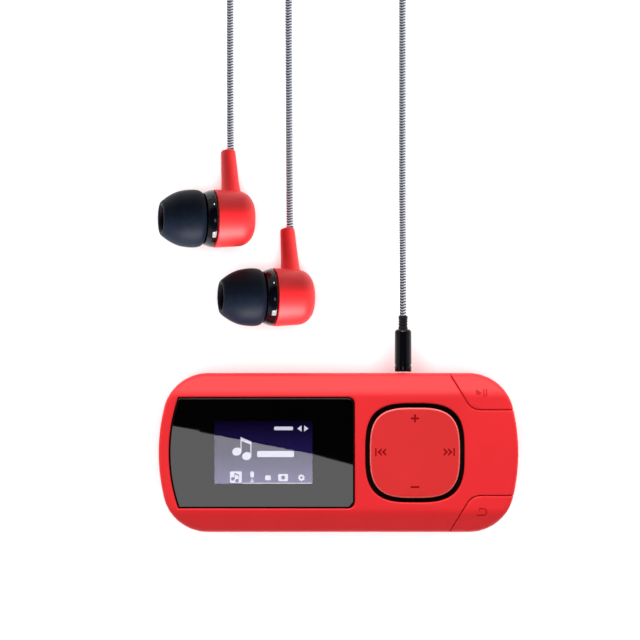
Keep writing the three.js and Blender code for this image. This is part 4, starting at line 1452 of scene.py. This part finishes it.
# Where each cord isn't coiled, its points are the CAD route's own.
MAIN_RUN = [
    (13.72, 28.9, 10), (13.72, 32, 9.95), (13.72, 36, 9.3), (13.72, 42, 7.4),
    (13.72, 48, 5.1), (13.72, 54, 3.1), (13.73, 60, 1.6), (13.73, 66, FLOOR_Z),
    (13.74, 78, FLOOR_Z), (13.74, 92, FLOOR_Z), (13.75, 105, FLOOR_Z), (13.75, 111, 1.15),
]
MAIN_TAIL = [
    (13.75, 123, 4.7), (13.75, 125, 3.4), (13.3, 127.4, 1.9), (12.1, 129.3, 1.2),
    (10.4, 130.2, 1.5), (8.35, SPLITTER_Y, SPLITTER_Z),
]
LEFT_RUN = [
    (-22.98, 64.5, 1.8), (-23.05, 68, FLOOR_Z + 0.2), (-23.08, 74, FLOOR_Z),
    (-23.1, 90, FLOOR_Z), (-23.1, 105, FLOOR_Z), (-23.1, 111.2, 1.15),
]
LEFT_TAIL = [
    (-23.1, 122.8, 2.2), (-23, 125.5, 1.1), (-21.6, 129.4, FLOOR_Z),
    (-17.5, 131.9, FLOOR_Z), (-11, 132.3, FLOOR_Z), (-5, 131.7, 1.3),
    (-1.35, SPLITTER_Y + SPLITTER_PORT, SPLITTER_Z),
]
RIGHT_RUN = [
    (-10.31, 47.8, 1.8), (-10.38, 51.3, FLOOR_Z + 0.2), (-10.42, 58, FLOOR_Z),
    (-10.5, 74, FLOOR_Z), (-10.58, 90, FLOOR_Z), (-10.6, 105, FLOOR_Z), (-10.6, 111.2, 1.15),
]
RIGHT_TAIL = [
    (-10.6, 122.8, 2.2), (-10.4, 125.4, 1.2), (-8.6, 128.4, FLOOR_Z + 0.1),
    (-5, 129.5, 1.3), (-1.35, SPLITTER_Y - SPLITTER_PORT, SPLITTER_Z),
]


def cord_piece(name, run, tail, centre_x, coil, direction, nodes):
    """A whole cord: its run, its coil and its tail, as one tube, and the path it follows."""
    path = smooth_path([*run, *coil_turns(centre_x, coil, direction), *tail], 0.8)
    piece = tube(name, path, CORD_RADIUS, MATERIALS["braid"])
    place(piece, "headphones", "braid", *nodes)
    return piece, path


def add_cords(main_pieces, left_pieces, right_pieces):
    """The three cords; each branch's path is turned round to run from the splitter to its bud."""
    specs = [
        ("main", MAIN_RUN, MAIN_TAIL, MAIN_X, MAIN_COIL, -1, main_pieces),
        ("left", LEFT_RUN, LEFT_TAIL, LEFT_X, BRANCH_COIL, 1, left_pieces),
        ("right", RIGHT_RUN, RIGHT_TAIL, RIGHT_X, BRANCH_COIL, -1, right_pieces),
    ]
    cords = []
    for side, run, tail, pass_x, coil, direction, pieces in specs:
        centre_x = pass_x - direction * (coil["turn_radius"] + OUTER_TURN)
        nodes = [f"{side}_cord_{part}" for part in ("run", "coil", "tail")]
        piece, path = cord_piece(f"{side}_cord", run, tail, centre_x, coil, direction, nodes)
        if side != "main":
            path = path[::-1]
        cords.append(piece)
    return cords


def table():
    """The pale surface that everything lies on."""
    signs = ((-1, -1), (1, -1), (1, 1), (-1, 1))
    corners = [(x * TABLE_REACH, y * TABLE_REACH, TABLE_Z) for x, y in signs]
    return mesh_object("table", corners, [(0, 1, 2, 3)], [MATERIALS["table"]])


# ---------------------------------------------------------------- plug, splitter and ties


def along_y(x, z):
    """Turned pieces on the plug's axis."""
    return Matrix.Translation((x, 0, z))


def quarter_round(radius, along, size, start, end, steps=6):
    """[radius, along] points of a rounded corner; the angles are in degrees."""
    return arc((radius, along), size, math.radians(start), math.radians(end), steps)


def ring_groove(radius, start, depth, slope, width):
    """[radius, along] points of a groove round a turned piece, with sloping sides."""
    floor = radius - depth
    end = start + width
    return [(radius, start), (floor, start + slope), (floor, end - slope), (radius, end)]


def plug_pieces():
    """The plug's gloss barrel and its ringed strain relief."""
    axis = along_y(SOCKET_X, SOCKET_Z)
    low, high = box_mm("plug_barrel")
    radius = (high.x - low.x) / 2
    tip_round, mouth_round = 0.7, 0.15
    profile = [(0, low.y), (radius - 0.25, low.y)]
    profile += quarter_round(radius - mouth_round, low.y + mouth_round, mouth_round, -90, 0, 3)
    profile += ring_groove(radius, low.y + 1.2, 0.12, 0.1, 0.4)
    profile += quarter_round(radius - tip_round, high.y - tip_round, tip_round, 0, 90)
    profile += [(0, high.y)]
    barrel = revolve("plug_sleeve", profile, axis, [MATERIALS["gloss"]], 64, 30)
    place(barrel, "headphones", "gloss_black", "plug_barrel")

    low, high = box_mm("plug_neck")
    base, tip = (high.x - low.x) / 2, (high.x - low.x) / 2 - 0.05
    lap = 0.36
    end = high.y + lap
    profile = [(0, low.y - lap), (base, low.y - lap), (base, low.y)]
    for start in (low.y + 0.5, low.y + 1.1, low.y + 1.7):
        profile += ring_groove(tip, start, 0.1, 0.06, 0.26)
    profile += [(tip, end - 0.1), (tip - 0.1, end), (0, end)]
    neck = revolve("plug_strain_relief", profile, axis, [MATERIALS["black"]], 48, 30)
    place(neck, "headphones", "black_plastic", "plug_neck")
    return [barrel, neck]


def splitter_piece():
    """The moulding where the lead divides, with two grip rings."""
    low, high = SPLITTER_LOW, SPLITTER_HIGH
    radius = (high.z - low.z) / 2
    size = 0.8
    profile = [(0, low.x), *quarter_round(radius - size, low.x + size, size, -90, 0)]
    for start in (low.x + 2.2, low.x + 6.2):
        profile += ring_groove(radius, start, 0.15, 0.12, 0.54)
    profile += [*quarter_round(radius - size, high.x - size, size, 0, 90), (0, high.x)]
    axis = Matrix.Translation((0, SPLITTER_Y, SPLITTER_Z)) @ Matrix.Rotation(-math.pi / 2, 4, "Z")
    piece = revolve("lead_splitter", profile, axis, [MATERIALS["gloss"]], 48, 30)
    return place(piece, "headphones", "gloss_black", "cord_splitter")


def tie_piece(side):
    """A band round a coil: a strap with rounded corners."""
    low, high = box_mm(f"{side}_cord_tie")
    strap = 0.4
    outer = rounded_box(low.x, high.x, low.z, high.z, 1.0, 6)
    inner = rounded_box(low.x + strap, high.x - strap, low.z + strap, high.z - strap, 0.6, 6)
    piece = upright_slab(f"{side}_tie", outer, inner, low.y, high.y, 0.15, MATERIALS["black"])
    return place(piece, "headphones", "black_plastic", f"{side}_cord_tie")


# ---------------------------------------------------------------- in-ear headphones

BUD_TILT = math.radians(13)
BUD_ROLL = math.radians(18)
BUD_RADIUS = 6.2
BUD_BACK_RADIUS = 5.9
BUD_CORNER = 3.5
BUD_LENGTH = 8.5
BUD_WALL = 1.0
STEM_AT = 4.4
STEM_END = 15.25
STEM_BASE_RADIUS = 1.95
STEM_TIP_RADIUS = 1.55
STEM_TIP_ROUND = 0.3
STEM_FOOT = 4.9
STEM_FLARE = 0.12
STEM_FLARE_TOP = 9.0
STEM_SIDES = 40
BUD_PLACES = {"left": Vector((-18.2, 49.6, 5.5)), "right": Vector((-5.53, 32.9, 5.5))}
BUD_FORWARD = Vector((-math.cos(BUD_TILT), 0, math.sin(BUD_TILT)))
BUD_UP = Vector((math.sin(BUD_TILT), 0, math.cos(BUD_TILT)))


def frame_matrix(x_axis, y_axis, z_axis, origin):
    matrix = Matrix((x_axis, y_axis, z_axis)).transposed().to_4x4()
    matrix.translation = origin
    return matrix


def bud_axis(place_mm):
    """Local Y along the bud towards the ear, from the back of its housing."""
    return frame_matrix(BUD_FORWARD.cross(BUD_UP), BUD_FORWARD, BUD_UP, place_mm)


def refine(profile, step):
    """A smooth curve through a profile's points."""
    points = smooth_path([(r, a, 0) for r, a in profile], step)
    return [(p.x, p.y) for p in points]


def bud_housing(side, axis):
    """A round-backed cup, open at the front, with a fine parting groove."""
    radius, corner = BUD_RADIUS, BUD_CORNER
    inner = radius - BUD_WALL
    profile = [(0, 0), *quarter_round(BUD_BACK_RADIUS - corner, corner, corner, -90, 0, 14)]
    profile += [(radius, BUD_LENGTH - 0.12), (radius - 0.12, BUD_LENGTH)]
    profile += [(inner, BUD_LENGTH), (inner, 4), (2.6, 1), (0, 1)]
    piece = revolve(f"{side}_bud_shell", profile, axis, [MATERIALS["bud_red"]], 96, 35)
    return place(piece, "headphones", "red_plastic", f"{side}_bud_housing")


def stem_profile():
    """(along, radius) points of a stem, from inside the housing to its rounded end."""
    flared = [STEM_FOOT + 0.25 * i for i in range(17)]
    plain = [9.5 + 0.5 * i for i in range(11)]
    profile = []
    for along in flared + plain:
        share = max((along - BUD_RADIUS) / (STEM_END - BUD_RADIUS), 0)
        radius = STEM_BASE_RADIUS + (STEM_TIP_RADIUS - STEM_BASE_RADIUS) * share
        flare = max(0.0, (STEM_FLARE_TOP - along) / (STEM_FLARE_TOP - BUD_RADIUS)) ** 2 * STEM_FLARE
        profile.append((along, radius + flare))
    for angle in (15, 30, 45, 60, 75, 90):
        turned = math.radians(angle)
        along = STEM_END - STEM_TIP_ROUND * (1 - math.sin(turned))
        profile.append((along, STEM_TIP_RADIUS - STEM_TIP_ROUND * (1 - math.cos(turned))))
    return profile


def bud_stem(side, place_mm):
    """The stem that the cord enters, spreading where it meets the housing."""
    out = Vector((0, 1, 0)) * math.cos(BUD_ROLL) - BUD_UP * math.sin(BUD_ROLL)
    third = BUD_FORWARD.cross(out)
    start = place_mm + BUD_FORWARD * STEM_AT
    rings = []
    for along, radius in stem_profile():
        rings.append(ring(start + out * along, radius, BUD_FORWARD, third, STEM_SIDES))
    piece = mesh_object(f"{side}_bud_spout", *loft(rings), [MATERIALS["bud_red"]], 40)
    return place(piece, "headphones", "red_plastic", f"{side}_bud_stem")


def bud_collar(side, axis):
    """The gloss collar and the nozzle that carries the ear tip."""
    start = BUD_LENGTH + 0.3
    wide = BUD_RADIUS - 0.05
    profile = [(1.7, start), (wide - 0.2, start)]
    profile += quarter_round(wide - 0.2, start + 0.2, 0.2, -60, 0, 3)
    profile += [(5.95, start + 0.9), *quarter_round(5.3, 10.5, 0.3, 30, 90, 4)]
    profile += [(2.6, 10.8), (2.6, 15.6), (2.9, 15.9), (2.9, 16.4), (2.5, 16.9), (1.7, 16.9)]
    piece = revolve(f"{side}_bud_ring", profile, axis, [MATERIALS["collar"]], 96, 30)
    return place(piece, "headphones", "gloss_black", f"{side}_bud_collar")


def ear_tip(side, axis):
    """A soft mushroom: a skirt rolled in over a core that grips the nozzle; the mouth and core are painted
    black as shade.
    """
    outside = refine([(5.5, 11.1), (5.95, 11.7), (6.15, 13), (5.85, 15.8), (5.0, 17.9), (3.85, 19.6)], 0.3)
    rim = refine([(3.85, 19.6), (3.45, 19.95), (3.0, 19.9), (2.7, 19.45)], 0.15)[1:]
    core = [(2.6, 18.1), (3.2, 17.4), (3.2, 15.6), (2.9, 15.2), (2.9, 12.4), (3.7, 12.4)]
    under = [(4.2, 16.7), (5.0, 15.4), (5.45, 13.2), (5.2, 11.35)]
    profile = [*outside, *rim, *core, *under]
    # The lip and core steps inside the mouth, painted black as shade.
    mouth = range(len(outside) + len(rim) - 1, len(outside) + len(rim) + len(core))
    materials = [MATERIALS["silicone"], MATERIALS["matt_black_and_painted_shade"]]
    piece = revolve(f"{side}_ear_cushion", profile, axis, materials, 96, 50, mouth)
    return place(piece, "headphones", "silicone", f"{side}_ear_tip")


def bud_pieces(side):
    """One in-ear headphone; the list starts with its stem, which the cord leaves from."""
    place_mm = BUD_PLACES[side]
    axis = bud_axis(place_mm)
    pieces = [bud_stem(side, place_mm), bud_housing(side, axis), bud_collar(side, axis)]
    return [*pieces, ear_tip(side, axis)]


# ---------------------------------------------------------------- lighting of the set


def light_the_set(floor, buds, cords, plug):
    """A soft key from beyond the player for all but the floor, the buds and the cords.

    The buds have a key from the near side, and the cords and stems one from the right. Two small
    lights make the sparks on the collars and the plug, and the floor has a light of its own.
    """
    set_world()
    stems = [piece for piece in buds if "spout" in piece.name]
    collars = [piece for piece in buds if "ring" in piece.name]
    apart = [floor, *buds, *cords]
    others = [o for o in bpy.context.scene.objects if o.type == "MESH" and o not in apart]
    shiny = [*collars, *plug]
    # name, place, size, watts, the point it faces, what it lights
    lights = [
        ("key", (0, 720, 640), (900, 450), 10.0, PLAYER_AIM, others),
        ("bud_key", (100, -760, 330), (800, 420), 27.0, BUD_AIM, buds),
        ("cord_key", (700, 60, 300), (300, 500), 4.5, CORD_AIM, [*cords, *stems]),
        ("upper_spark", (-120, 900, 520), (110, 110), 2.2, BUD_AIM, shiny),
        ("lower_spark", (-120, -800, 520), (110, 110), 2.2, BUD_AIM, shiny),
        ("floor_light", (0, 0, 1200), (1300, 1300), 26.0, TABLE_AIM, [floor]),
    ]
    for *light, receivers in lights:
        light_only(aimed_light(*light), receivers)
    add_glare_card()
    bpy.context.scene.view_settings.view_transform = "Standard"


# ---------------------------------------------------------------- finishes of the CAD's own pieces

CARRIED_OVER = {
    "board": ["circuit_board"],
    "chip": ["processor_chip", "memory_chip"],
    "polyimide": ["display_ribbon"],
    "foil": ["battery"],
    "black": ["display_holder", "headphone_socket"],
    "matt_black_and_painted_shade": ["pad_retainer", "pad_pivot"],
    "gold": ["plug_contact"],
    "mesh": ["left_bud_grille", "right_bud_grille"],
}


def finish_cad_nodes():
    """Gives every CAD node a procedural finish; steel is the commonest, so it is the default."""
    chosen = {node: key for key, nodes in CARRIED_OVER.items() for node in nodes}
    for name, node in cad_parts.items():
        material = MATERIALS[chosen.get(name, "steel")]
        if not node.material_slots:
            node.data.materials.append(material)
        for slot in node.material_slots:
            slot.material = material


# ---------------------------------------------------------------- the scene

add_camera()
finish_cad_nodes()
front_shell()
rear_shell()
window_lens()
display_face()
pad_cap()
corner_cap("play_cap", 1, "play_key", "play_button", play_pause_sign(), (30.1, 12.6))
corner_cap("back_cap", -1, "back_key", "back_button", return_sign(), (30.2, -12.5))
clip_leaf()
splitter = splitter_piece()
left_bud, right_bud = bud_pieces("left"), bud_pieces("right")
ties = {side: tie_piece(side) for side in ("main", "left", "right")}
plug = plug_pieces()
cords = add_cords(
    [*plug, splitter, ties["main"]],
    [left_bud[0], ties["left"]],
    [right_bud[0], ties["right"]],
)
floor = table()
light_the_set(floor, [*left_bud, *right_bud], cords, plug)
